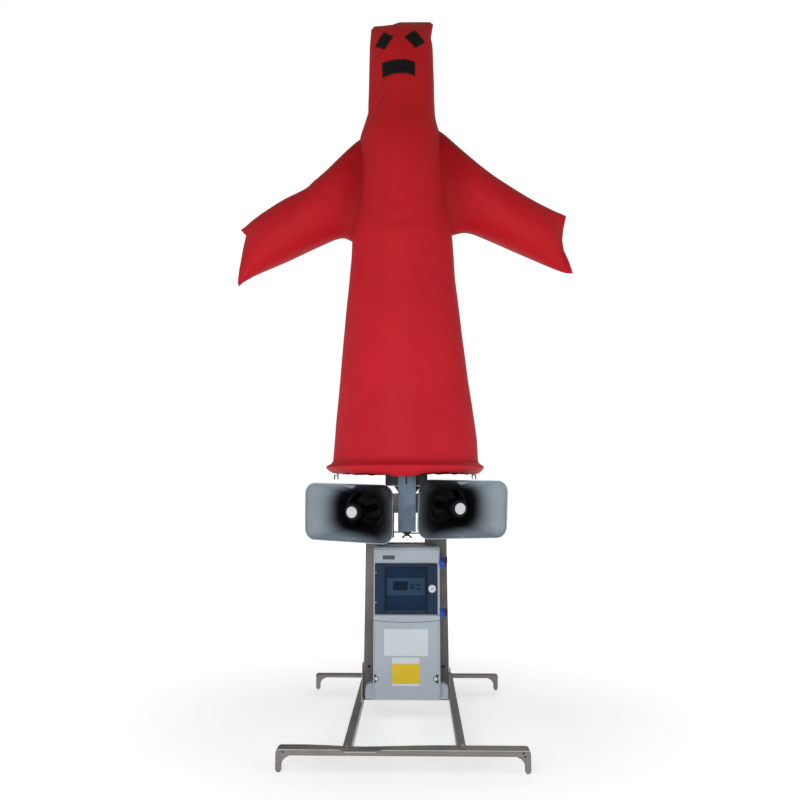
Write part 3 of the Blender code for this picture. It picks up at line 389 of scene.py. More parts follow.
def flare_plastic(name, grey, throat):
    """Grey moulded flare with painted shade that darkens it towards its throat, more on its top wall and post
    side and less on its bottom wall, and a painted highlight on its rim, by the place in the mouth kept with
    its mesh.
    """
    flare = Finish(name)
    mouth = flare.add("Attribute", out="Vector", attribute_name="mouth")
    inward, upward, depth = (flare.axis(way, mouth) for way in "XYZ")
    broad, dust = flare.cloud(14.0, 5.0, 0.6), flare.cloud(75.0, 6.0, 0.75)
    tone = flare.mix(flare.spread(broad, 0.3, 0.7), scaled(grey, 0.90), scaled(grey, 1.10))
    tone = flare.mix(flare.spread(dust, 0.56, 0.80, 0.0, 0.35), tone, scaled(grey, 1.35))
    # Painted shade: darker with depth, towards the post side and on the top wall, lighter on the bottom wall.
    uneven = flare.maths("MULTIPLY_ADD", broad, 0.010, depth)
    shade = flare.maths("ADD", flare.spread(inward, -0.60, 0.60, -0.036, 0.024), uneven)
    top = flare.maths("MULTIPLY", flare.spread(upward, 0.45, 0.95, 0.0, 0.030),
                      flare.spread(inward, -0.45, 0.05))
    shade = flare.maths("ADD", shade, top)
    shade = flare.maths("ADD", shade, flare.spread(upward, -0.95, -0.35, -0.012, 0.0))
    dark = flare.spread(shade, -0.008, 0.060, interpolation_type="SMOOTHSTEP")
    # Painted highlight: the rim of the mouth is lighter over its first 1.6 mm.
    tone = flare.mix(flare.spread(depth, 0.0004, 0.0016, 0.55, 0.0), tone, scaled(grey, 1.9))
    return flare.done(flare.mix(dark, tone, throat), flare.spread(dust, 0.3, 0.8, 0.40, 0.56),
                      flare.bump(flare.cloud(1300.0), 0.00012, 0.5))


def smoked_clear(name, tint):
    """Tinted clear plastic of the window, with faint wiping marks."""
    clear = Finish(name, 0.12)
    wipe = clear.cloud(40.0, 4.0, 0.65, 1.2)
    clear.put(clear.shader, "Alpha", 0.34)
    return clear.done(clear.mix(clear.spread(wipe, 0.35, 0.75, 0.0, 0.4), tint, scaled(tint, 2.2)),
                      clear.spread(wipe, 0.3, 0.8, 0.10, 0.26))


def clear_selection():
    if bpy.context.mode != "OBJECT":
        leave_edit()
    bpy.ops.object.select_all(action="DESELECT")


def work_on(obj):
    clear_selection()
    obj.select_set(True)
    bpy.context.view_layer.objects.active = obj


def enter_edit():
    """Opens the active piece for editing, with all of it selected."""
    bpy.ops.object.mode_set(mode="EDIT")
    bpy.ops.mesh.select_all(action="SELECT")


def leave_edit():
    bpy.ops.object.mode_set(mode="OBJECT")


def face_outwards():
    bpy.ops.mesh.select_all(action="SELECT")
    bpy.ops.mesh.normals_make_consistent(inside=False)


def pick(kind, test):
    """In edit mode, selects the edges or faces that pass a test of their middle and direction."""
    bpy.ops.mesh.select_mode(type=kind)
    bpy.ops.mesh.select_all(action="DESELECT")
    mesh = bpy.context.edit_object.data
    bm = bmesh.from_edit_mesh(mesh)
    for item in {"EDGE": bm.edges, "FACE": bm.faces}[kind]:
        if kind == "EDGE":
            first, second = (vert.co for vert in item.verts)
            chosen = test((first + second) / 2, (second - first).normalized())
        else:
            chosen = test(item.calc_center_median(), item.normal)
        if chosen:
            item.select_set(True)
    bm.select_flush_mode()
    bmesh.update_edit_mesh(mesh)


def start_piece(name, add, **values):
    """Adds a primitive, at the origin if no place is given, and opens it for editing, all selected."""
    clear_selection()
    add(**{"location": (0, 0, 0), **values})
    obj = bpy.context.object
    obj.name = obj.data.name = name
    enter_edit()
    return obj


def resize(shares):
    bpy.ops.transform.resize(value=shares, center_override=(0, 0, 0))


def round_edges(width, steps):
    """Rounds the selected edges."""
    bpy.ops.mesh.bevel(offset=width, segments=steps, affect="EDGES")


def start_block(name, low, high):
    """Opens a block between two corners, shaped from a cube."""
    low, high = Vector(low), Vector(high)
    obj = start_piece(name, bpy.ops.mesh.primitive_cube_add, size=1.0)
    resize(high - low)
    bpy.ops.transform.translate(value=(high + low) / 2)
    return obj


def blocks(name, rows):
    """One piece of blocks; a row has two corners and an edge rounding in millimetres, and its steps."""
    made = []
    for row in rows:
        corners = [value / 1000 for value in row[:7]]
        made.append(start_block(name, corners[:3], corners[3:6]))
        round_edges(corners[6], row[7])
        leave_edit()
    return joined(name, made)


def boss(name, radius, height, levels, sides=32, edge=0.0004):
    """A round or many-sided boss along +Z; each level insets its top and lifts it."""
    obj = start_piece(name, bpy.ops.mesh.primitive_cylinder_add, vertices=sides, radius=radius, depth=height,
                      end_fill_type="NGON")
    bpy.ops.transform.translate(value=(0, 0, height / 2))
    pick("FACE", lambda place, way: way.z > 0.9)
    round_edges(edge, 2)
    top = height
    for inset, rise in levels:
        pick("FACE", lambda place, way: way.z > 0.9 and place.z > top - 1e-5)
        bpy.ops.mesh.inset(thickness=inset, depth=0.0)
        bpy.ops.mesh.extrude_region_move(TRANSFORM_OT_translate={"value": (0, 0, rise)})
        top += rise
    leave_edit()
    return obj


def at(*place):
    return Matrix.Translation(place)


def turned(degrees, axis):
    return Matrix.Rotation(math.radians(degrees), 4, axis)


def set_in_place(obj, matrix):
    obj.data.transform(matrix)
    obj.data.update()
    return obj


def linked(name, mesh):
    obj = bpy.data.objects.new(name, mesh)
    bpy.context.scene.collection.objects.link(obj)
    return obj


def copied(obj, name, matrix):
    """A copy of a modelled piece with its own mesh, put in place."""
    mesh = obj.data.copy()
    mesh.name = name
    return set_in_place(linked(name, mesh), matrix)


def joined(name, objects):
    work_on(objects[0])
    for obj in objects:
        obj.select_set(True)
    if len(objects) > 1:
        bpy.ops.object.join()
    made = bpy.context.view_layer.objects.active
    made.name = made.data.name = name
    return made


def remove(obj):
    bpy.data.objects.remove(obj, do_unlink=True)


def finish_piece(obj, material, body="stand", smooth=35.0):
    """Gives a piece its finish and smoothing, and makes it ride on its body."""
    obj.data.materials.clear()
    obj.data.materials.append(material)
    work_on(obj)
    bpy.ops.object.shade_smooth_by_angle(angle=math.radians(smooth))
    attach(obj, body)
    clear_selection()
    return obj


def fit_blocks(name, material, rows, body="stand"):
    return finish_piece(blocks(name, rows), material, body)


def dress(names, material):
    """Gives the named solids of the frame a finish."""
    for name in names.split():
        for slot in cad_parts[name].material_slots:
            slot.material = material


def apply_modifiers(obj):
    work_on(obj)
    for modifier in list(obj.modifiers):
        bpy.ops.object.modifier_apply(modifier=modifier.name)


def part_way(first, second, share):
    return [a + (b - a) * share for a, b in zip(first, second)]


def row_at(rows, value):
    """The row at a value of the first column, on straight lines between the rows given."""
    for low, high in zip(rows, rows[1:]):
        if low[0] <= value <= high[0]:
            return part_way(low, high, (value - low[0]) / (high[0] - low[0]))
    return list(rows[0] if value < rows[0][0] else rows[-1])


def eased(row, value, steps):
    """The mean of the rows near a value."""
    near = [row(value + step) for step in steps]
    return [sum(column) / len(near) for column in zip(*near)]


def soft_row(z):
    """The body row at a height, with the kinks between the tabled rows eased."""
    steps = (-0.012, -0.006, 0.0, 0.006, 0.012) if 0.815 < z < 2.190 else (0.0,)
    return eased(lambda height: row_at(BODY_ROWS, height), z, steps)


def power(value, squareness):
    return math.copysign(abs(value) ** (2.0 / squareness), value)


def dent(depth, along, half_length, aside, half_width):
    return depth * math.exp(-(along / half_length) ** 2 - (aside / half_width) ** 2)


def fold_depth(folds, angle, z, radius):
    """How far the body's surface is drawn in at an angle in degrees and a height."""
    total = 0.0
    for fold_z, fold_angle, lean, half_length, half_width, depth in folds:
        across = math.radians((angle - fold_angle + 180) % 360 - 180) * radius
        rise = z - fold_z
        if abs(rise) > 0.35 or abs(across) > 0.3:
            continue
        turn = math.radians(lean)
        total += dent(depth, -across * math.cos(turn) + rise * math.sin(turn), half_length,
                      across * math.sin(turn) + rise * math.cos(turn), half_width)
    return total


def body_point(angle, z, grow=0.0, buckle=0.0):
    """A point of the figure's surface at an angle in degrees and a height."""
    _, centre, half_width, half_depth, squareness = soft_row(z)
    turn = math.radians(angle)
    inward = fold_depth(BODY_FOLDS + FINE_FOLDS, angle, z, half_width)
    if buckle and 0.80 < z < 2.26:
        where = Vector((math.cos(turn) * half_width, math.sin(turn) * half_depth, z * 0.7)) * 9.0
        inward += buckle * noise.fractal(where, 1.0, 2.0, 3)
    x = centre + (half_width + grow - inward) * power(math.cos(turn), squareness)
    y = -(half_depth + grow - min(inward, half_depth / 2)) * power(math.sin(turn), squareness)
    sag = HEM_SAG * math.exp(-((angle - 90) / HEM_SAG_WIDTH) ** 2) + 0.0015 * math.cos(3 * turn)
    ruffle = 0.0009 * math.sin(23 * turn) + 0.0007 * math.sin(41 * turn + 1.0)
    share = max(0.0, min(1.0, (0.783 - z) / 0.021))
    drop = row_at(TOP_SEAM, x)[1] * max(0.0, (z - 2.2450) / 0.0380)
    return (x, y + AXIS_Y, z - (sag + ruffle) * share - drop)


def body_heights():
    heights = [0.762 + 0.0025 * k for k in range(17)]
    heights += [0.802 + 0.0105 * (k + 1) for k in range(136)]
    heights += [2.230 + 0.00353 * (k + 1) for k in range(15)]
    return [min(z, 2.283) for z in heights]


def grid_piece(name, rings, flat, close_end, cap_start=False):
    """A tube of cloth from rings of points, with its flat cut kept as a UV map in metres."""
    bm = bmesh.new()
    cut = bm.loops.layers.uv.new("cut")
    made = [[bm.verts.new(point) for point in ring] for ring in rings]
    count = len(made[0])
    for i, (ring, following) in enumerate(zip(made, made[1:])):
        for k in range(count):
            after = (k + 1) % count
            face = bm.faces.new((ring[k], ring[after], following[after], following[k]))
            places = ((i, k), (i, k + 1), (i + 1, k + 1), (i + 1, k))
            for loop, (row, column) in zip(face.loops, places):
                loop[cut].uv = flat(row, column)
    if cap_start:
        bm.faces.new(made[0])
    if close_end:
        last = made[-1]
        half = count // 2
        bm.faces.new((last[0], last[1], last[-1]))
        bm.faces.new((last[half - 1], last[half], last[half + 1]))
        for k in range(1, half - 1):
            bm.faces.new((last[k], last[k + 1], last[count - k - 1], last[count - k]))
    bmesh.ops.recalc_face_normals(bm, faces=bm.faces)
    return from_bmesh(name, bm)


def from_bmesh(name, bm):
    mesh = bpy.data.meshes.new(name)
    bm.to_mesh(mesh)
    bm.free()
    return linked(name, mesh)


def solidify(obj, thickness, offset=-1.0):
    modifier = obj.modifiers.new("cloth", "SOLIDIFY")
    modifier.thickness = thickness
    modifier.offset = offset
    apply_modifiers(obj)


def sleeve_row(side, t):
    rows = SLEEVE_ROWS[side]
    index = max(0, min(int(t), len(rows) - 2))
    return part_way(rows[index], rows[index + 1], t - index)


def soft_sleeve_row(side, t):
    if t > len(SLEEVE_ROWS[side]) - 2.5:
        return sleeve_row(side, t)
    return eased(lambda value: sleeve_row(side, max(0.0, value)), t, (-0.4, -0.2, 0.0, 0.2, 0.4))


def sleeve_point(side, t, turn, buckle):
    """A point of a sleeve, at a place along it and a turn from its upper edge."""
    last = len(SLEEVE_ROWS[side]) - 1
    ux, uz, lx, lz, half_depth = soft_sleeve_row(side, t)
    middle = Vector(((ux + lx) / 2, 0.0, (uz + lz) / 2))
    up = Vector(((ux - lx) / 2, 0.0, (uz - lz) / 2))
    point = middle + up * math.cos(turn)
    inward = 0.0
    for x, z, lean, half_length, half_width, depth in SLEEVE_FOLDS[side]:
        way = math.radians(lean)
        inward += dent(depth, (point.x - x) * math.cos(way) + (point.z - z) * math.sin(way), half_length,
                       -(point.x - x) * math.sin(way) + (point.z - z) * math.cos(way), half_width)
    where = Vector((point.x, math.sin(turn) * 0.1, point.z)) * 11.0
    inward += buckle * noise.fractal(where, 1.0, 2.0, 3)
    point.y = -(half_depth - inward * min(1.0, half_depth / 0.04)) * math.sin(turn)
    dip = row_at(SLEEVE_ENDS[side], (1 - math.cos(turn)) / 2)[1]
    share = row_at(((last - 3, 0.0), (last - 2, 0.3), (last - 1, 0.7), (last, 1.0)), t)[1]
    point.x -= SIDES[side] * dip * share
    return (point.x, point.y + AXIS_Y, point.z)


def head_front(x, z, grow):
    """The front of the head at a place in its front view."""
    _, centre, half_width, half_depth, squareness = soft_row(z)
    across = min(abs((x - centre) / half_width), 0.999)
    return AXIS_Y - half_depth * (1 - across ** squareness) ** (1 / squareness) - grow


def stitch_line(name, places, material, size):
    """A row of stitches; each place is a point, the way along the seam and the way out of the cloth."""
    span, radius = size
    one = start_piece("stitch", bpy.ops.mesh.primitive_cylinder_add, vertices=6, radius=radius, depth=span)
    pick("EDGE", lambda place, way: abs(abs(place.z) - span / 2) < 1e-6)
    round_edges(radius * 0.5, 1)
    leave_edit()
    copies = []
    for point, along, out in places:
        along, out = Vector(along).normalized(), Vector(out).normalized()
        matrix = Matrix((out.cross(along).normalized(), out, along)).transposed().to_4x4()
        matrix.translation = Vector(point)
        copies.append(copied(one, "stitch", matrix))
    remove(one)
    return finish_piece(joined(name, copies), material, "stand", 60.0)


def horn_matrix(name):
    """Local +Z points out of the mouth, +X along its width, +Y up."""
    horn, side = HORNS[name], SIDES[name]
    forward = Vector((side * math.sin(HORN_TURN) * math.cos(HORN_PITCH),
                      -math.cos(HORN_TURN) * math.cos(HORN_PITCH), -math.sin(HORN_PITCH)))
    across = Vector((math.cos(HORN_TURN), side * math.sin(HORN_TURN), 0.0))
    turn = Matrix((across, forward.cross(across), forward)).transposed().to_4x4()
    return at(horn["x"], horn["y"], horn["z"]) @ turn @ turned(-horn["roll"], "Z")


def horn_section(depth):
    """Half width, half height and corner radius of a flare, on a smooth curve through its sections."""
    rows = HORN_SECTIONS
    for i in range(len(rows) - 1):
        if rows[i][0] <= depth <= rows[i + 1][0]:
            break
    before, low = rows[max(0, i - 1)], rows[i]
    high, after = rows[i + 1], rows[min(len(rows) - 1, i + 2)]
    step = high[0] - low[0]
    t = (depth - low[0]) / step
    values = []
    for a, b, c, d in zip(before[1:], low[1:], high[1:], after[1:]):
        first = (c - a) / max(high[0] - before[0], 1e-9) * step
        second = (d - b) / max(after[0] - low[0], 1e-9) * step
        values.append((2 * t ** 3 - 3 * t ** 2 + 1) * b + (t ** 3 - 2 * t ** 2 + t) * first
                      + (3 * t ** 2 - 2 * t ** 3) * c + (t ** 3 - t ** 2) * second)
    return values


class SCARECROW_OT_body(bpy.types.Operator):
    """Sew the figure's body in its blown-up shape and stitch its hem"""

    bl_idname = "scarecrow.body"
    bl_label = "Body cloth"

    def execute(self, context):
        cloth = context.scene.scarecrow_cloth
        heights = body_heights()
        angles = [360.0 * k / BODY_SEGMENTS for k in range(BODY_SEGMENTS)]
        rings = [[body_point(angle, z, 0.0, cloth.buckle) for angle in angles] for z in heights]
        body = grid_piece("figure_body", rings,
                          lambda i, k: (0.18 * math.tau * k / BODY_SEGMENTS, heights[i]), close_end=True)
        solidify(body, cloth.thickness)
        finish_piece(body, nylon("red nylon", cloth.red, cloth.weave), "stand", 60.0)
        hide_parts("body_cloth")
        hem = []
        for k in range(HEM_STITCHES):
            angle = 360.0 * k / HEM_STITCHES
            point = Vector(body_point(angle, HEM_SEAM, 0.0004))
            along = Vector(body_point(angle + 0.5, HEM_SEAM, 0.0004)) - point
            hem.append((point, along, (math.cos(math.radians(angle)), -math.sin(math.radians(angle)), 0.1)))
        thread = moulded("red thread", scaled(cloth.red, 0.55), 0.6)
        stitches = stitch_line("hem_stitching", hem, thread, (0.0030, 0.0004))
        return {"FINISHED"}


class SCARECROW_OT_sleeves(bpy.types.Operator):
    """Sew both sleeves and fit them to the body"""

    bl_idname = "scarecrow.sleeves"
    bl_label = "Sleeves"

    def execute(self, context):
        cloth = context.scene.scarecrow_cloth
        heights = [z for z in body_heights() if 1.30 < z < 2.10][::2]
        angles = [360.0 * k / 84 for k in range(84)]
        material = nylon("red sleeve nylon", cloth.red, cloth.weave, 1.0)
        envelope = grid_piece("envelope", [[body_point(a, z, 0.0004, cloth.buckle) for a in angles]
                                           for z in heights], lambda i, k: (0.0, 0.0), False, True)
        work_on(envelope)
        enter_edit()
        pick("EDGE", lambda place, way: place.z > heights[-1] - 1e-4)
        bpy.ops.mesh.edge_face_add()
        face_outwards()
        leave_edit()
        turns = [math.tau * k / SLEEVE_SEGMENTS for k in range(SLEEVE_SEGMENTS)]
        for side in SIDES:
            last = len(SLEEVE_ROWS[side]) - 1
            places = [last * i / SLEEVE_STEPS for i in range(SLEEVE_STEPS + 1)]
            rings = [[sleeve_point(side, t, turn, cloth.buckle) for turn in turns] for t in places]
            sleeve = grid_piece(f"figure_sleeve_{side}", rings,
                                lambda i, k: (0.11 * math.tau * k / SLEEVE_SEGMENTS, 0.5 * i / SLEEVE_STEPS),
                                close_end=True)
            solidify(sleeve, cloth.thickness)
            cut = sleeve.modifiers.new("fit", "BOOLEAN")
            cut.operation = "DIFFERENCE"
            cut.solver = "EXACT"
            cut.object = envelope
            apply_modifiers(sleeve)
            finish_piece(sleeve, material, "stand", 60.0)
            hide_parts(f"sleeve_{side}")
        remove(envelope)
        return {"FINISHED"}


class SCARECROW_OT_face(bpy.types.Operator):
    """Cut the black face patches, lay them on the head and stitch round them"""

    bl_idname = "scarecrow.face"
    bl_label = "Face patches"

    def execute(self, context):
        cloth = context.scene.scarecrow_cloth
        material = nylon("black nylon", cloth.black, cloth.weave)
        thread = moulded("black thread", (0.018, 0.018, 0.020), 0.6)
        for name, corners in FACE_PATCHES.items():
            patch = self.patch(f"patch_{name}", corners)
            solidify(patch, 0.0008, 1.0)
            finish_piece(patch, material, "stand", 60.0)
            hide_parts(f"face_{name}")
            stitches = stitch_line(f"stitching_{name}", self.edge_places(corners), thread,
                                   (0.0026, 0.0004))
        return {"FINISHED"}

    @staticmethod
    def patch(name, corners):
        """A flat patch, cut into small squares and laid on the front of the head."""
        bm = bmesh.new()
        cut = bm.loops.layers.uv.new("cut")
        bm.faces.new([bm.verts.new((x, 0.0, z)) for x, z in corners])
        for axis, way in ((0, Vector((1.0, 0.0, 0.0))), (2, Vector((0.0, 0.0, 1.0)))):
            low = min(vert.co[axis] for vert in bm.verts)
            high = max(vert.co[axis] for vert in bm.verts)
            count = int((high - low) / 0.0035)
            for k in range(1, count + 1):
                bmesh.ops.bisect_plane(bm, geom=bm.verts[:] + bm.edges[:] + bm.faces[:],
                                       plane_co=way * (low + (high - low) * k / (count + 1)), plane_no=way)
        for face in bm.faces:
            for loop in face.loops:
                loop[cut].uv = (loop.vert.co.x, loop.vert.co.z)
        for vert in bm.verts:
            vert.co.y = head_front(vert.co.x, vert.co.z, 0.0012)
        obj = from_bmesh(name, bm)
        if obj.data.polygons[0].normal.y > 0:
            obj.data.flip_normals()
        return obj

    @staticmethod
    def edge_places(corners):
        """Places along a line inside the patch's edge, one for each stitch."""
        xs, zs = zip(*corners)
        middle = Vector((sum(xs) / len(xs), 0.0, sum(zs) / len(zs)))
        places = []
        for (ax, az), (bx, bz) in zip(corners, corners[1:] + corners[:1]):
            start, end = Vector((ax, 0.0, az)), Vector((bx, 0.0, bz))
            start += (middle - start).normalized() * 0.0040
            end += (middle - end).normalized() * 0.0040
            count = max(2, int((end - start).length / 0.0042))
            for k in range(count):
                point, after = (start.lerp(end, (k + share) / count) for share in (0.5, 0.9))
                for spot in (point, after):
                    spot.y = head_front(spot.x, spot.z, 0.0021)
                places.append((point, after - point, (point.x + 0.011, point.y - AXIS_Y, 0.0)))
        return places


class SCARECROW_OT_horns(bpy.types.Operator):
    """Mould the two horn flares, and finish their bells, plugs and discs"""

    bl_idname = "scarecrow.horns"
    bl_label = "Horn loudspeakers"

    def execute(self, context):
        horns = context.scene.scarecrow_horns
        flare_finish = flare_plastic("grey flare plastic", horns.grey, horns.throat)
        # Painted highlight: the lip wedges get the flare's grey, a quarter lighter.
        lip_highlight_finish = moulded("grey lip plastic with painted highlight", scaled(horns.grey, 1.25), 0.42)
        for name in SIDES:
            flare = set_in_place(self.flare(name, horns.corner_steps), horn_matrix(name))
            finish_piece(flare, flare_finish, f"horn_{name}", 50.0)
            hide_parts(f"horn_flare_{name}")
            wedges = joined(f"horn_lip_wedges_{name}", [self.lip_wedge(way) for way in (-1, 1)])
            set_in_place(wedges, horn_matrix(name))
            finish_piece(wedges, lip_highlight_finish, f"horn_{name}", 20.0)
        dress("horn_bell_left horn_plug_left horn_bell_right horn_plug_right",
              moulded("black horn plastic", (0.0030, 0.0031, 0.0045), 0.46, 1.0, 0.10, 0.12, 0.2))
        dress("horn_disc_left horn_disc_right", moulded("white disc plastic", (0.58, 0.59, 0.61), 0.35))
        return {"FINISHED"}

    @staticmethod
    def flare(name, steps):
        """Rounded sections from the mouth down to the throat, bridged one to the next and given a wall."""
        depths = [0.0, 0.0012, 0.0035, 0.007] + [0.007 + 0.11 * k / 20 for k in range(1, 21)]
        sections = []
        for depth in depths:
            half_width, half_height, radius = horn_section(depth)
            sections.append(start_piece("section", bpy.ops.mesh.primitive_plane_add, size=1.0))
            resize((2 * half_width, 2 * half_height, 1.0))
            bpy.ops.transform.translate(value=(0, 0, -depth))
            bpy.ops.mesh.bevel(offset=radius, segments=steps, affect="VERTICES")
            bpy.ops.mesh.delete(type="ONLY_FACE")
            leave_edit()
        obj = joined(f"flare_{name}", sections)
        bpy.ops.object.mode_set(mode="EDIT")
        for low, high in zip(depths, depths[1:]):
            pick("EDGE", lambda place, way: abs(way.z) < 0.1 and -high - 1e-5 < place.z < -low + 1e-5)
            bpy.ops.mesh.bridge_edge_loops()
        face_outwards()
        leave_edit()
        out = sum(face.normal.x * face.center.x + face.normal.y * face.center.y for face in obj.data.polygons)
        if out < 0:
            obj.data.flip_normals()
        kept = obj.data.attributes.new("mouth", "FLOAT_VECTOR", "POINT")
        for vert, item in zip(obj.data.vertices, kept.data):
            item.vector = (-SIDES[name] * vert.co.x / 0.145, vert.co.y / 0.086, -vert.co.z)
        wall = obj.modifiers.new("wall", "SOLIDIFY")
        wall.thickness = HORN_WALL
        wall.offset = -1.0
        rim = obj.modifiers.new("rim", "BEVEL")
        rim.width = 0.0007
        rim.segments = 2
        rim.limit_method = "ANGLE"
        rim.angle_limit = math.radians(50)
        apply_modifiers(obj)
        return obj

    @staticmethod
    def lip_wedge(way):
        """A low three-sided wedge moulded on the inside of the lip, above or below the mouth."""
        obj = start_piece("lip_wedge", bpy.ops.mesh.primitive_circle_add, vertices=3, radius=0.02,
                          fill_type="NGON")
        resize((1.33, 0.87, 1.0))
        bpy.ops.mesh.extrude_region_move(TRANSFORM_OT_translate={"value": (0, 0, 0.0012)})
        resize((0.80, 0.80, 1.0))
        leave_edit()
        lie = Matrix(((1, 0, 0), (0, 0, -way), (0, 1, 0))).to_4x4()
        if way > 0:
            lie = turned(180, "Y") @ lie
        set_in_place(obj, at(0, way * 0.0770, -0.0125) @ turned(-24 * way, "X") @ lie)
        work_on(obj)
        enter_edit()
        face_outwards()
        leave_edit()
        return obj


class SCARECROW_OT_stand(bpy.types.Operator):
    """Brush the steel of the stand, with painted shade on its rails and uprights, and add its bolts, painted
    highlights along the crossbar's folds, and dark discs of painted shade for its holes
    """

    bl_idname = "scarecrow.stand"
    bl_label = "Steel stand"

    def execute(self, context):
        stand = context.scene.scarecrow_stand
        dress("crossbar_front crossbar_rear cross_member fan_tray",
              brushed("steel brushed across", stand.steel, "X"))
        # Painted shade: the rails and post stay get the same steel, a little darker.
        dress("rail_left rail_right post_stay",
              brushed("steel brushed along with painted shade", scaled(stand.steel, 0.85), "Y"))
        # Painted shade: the uprights, box plate and gusset get the same steel at about half its tone.
        dress("upright_left upright_right box_plate fan_gusset",
              brushed("steel brushed upward with painted shade", scaled(stand.steel, 0.52), "Z"))
        dress("post", brushed("steel of the post", (0.095, 0.125, 0.165), "Z"))
        dress("hem_clip_left hem_clip_right wing_screw horn_yoke_left horn_yoke_right",
              painted_steel("black steel", (0.020, 0.020, 0.021)))
        self.bolts(stand.bolt_radius)
        # Painted highlight: bright strips of steel along the folds of the front crossbar.
        fold_highlight = blocks("crossbar_fold_highlight", (
            (-318, -421.3, 54.6, -160, -420.6, 56.2, 0.2, 1), (-56, -421.3, 54.6, 324, -420.6, 56.2, 0.2, 1),
            (-148, -421.3, 49.2, -68, -420.6, 50.8, 0.2, 1)))
        finish_piece(fold_highlight, brushed("painted highlight steel of the folds", (0.62, 0.61, 0.59)), "stand", 30.0)
        # Painted shade: thin dark discs on the front crossbar and the rails stand in for the shade inside
        # drilled holes.
        self.copies("drilled_holes", boss("hole", 0.0026, 0.0004, (), 20, 0.0001),
                    [at(x, -0.4206, z) @ TO_FRONT
                     for x, z in ((0.3105, 0.042), (-0.306, 0.05), (0.306, 0.05))]
                    + [at(x, y, 0.0588) for x, y in ((0.151, -0.115), (0.151, -0.055), (-0.145, -0.145))],
                    painted_steel("painted hole shade", (0.004, 0.004, 0.005)), "black_steel")
        return {"FINISHED"}

    @staticmethod
    def copies(name, one, places, material, slot, keep=False):
        """Copies of one fitting, joined into a piece of the stand."""
        made = joined(name, [copied(one, f"{name}_{k}", place) for k, place in enumerate(places)])
        if not keep:
            remove(one)
        finish_piece(made, material, "stand", 30.0)

    def bolts(self, radius):
        """Hexagon bolts with washers, bright on the rails and black on the uprights."""
        washer = boss("washer", radius * 1.55, 0.0009, (), 28, 0.0002)
        head = boss("bolt_head", radius, 0.0042, ((radius * 0.30, 0.0004),), 6, 0.0005)
        bolt = joined("bolt", [washer, set_in_place(head, at(0, 0, 0.0009))])
        bright, dark = [], []
        for side in (-1, 1):
            for y in (-0.4020, 0.4020):
                drop = 0.0036 if side < 0 and y < 0 else 0.0
                bright.append(at(0.003 + side * 0.1485, y, 0.05985 - drop))
            for x, z in ((0.1000, 0.670), (0.1170, 0.160)):
                dark.append(at(0.003 + side * x, 0.0562, z) @ TO_FRONT)
        self.copies("stand_bolts", bolt, bright,
                    moulded("bolt steel", (0.36, 0.35, 0.33), 0.30, metal=1.0), "steel", keep=True)
        self.copies("upright_bolts", bolt, dark, painted_steel("black bolt steel", (0.012, 0.012, 0.013)),
                    "black_steel")


class SCARECROW_OT_fan(bpy.types.Operator):
    """Finish the fan, its rotor and the base disc"""

    bl_idname = "scarecrow.fan"
    bl_label = "Fan and base disc"

    def execute(self, context):
        dress("base_disc fan_frame fan_rotor", moulded("black fan plastic", (0.012, 0.012, 0.013), 0.42))
        return {"FINISHED"}


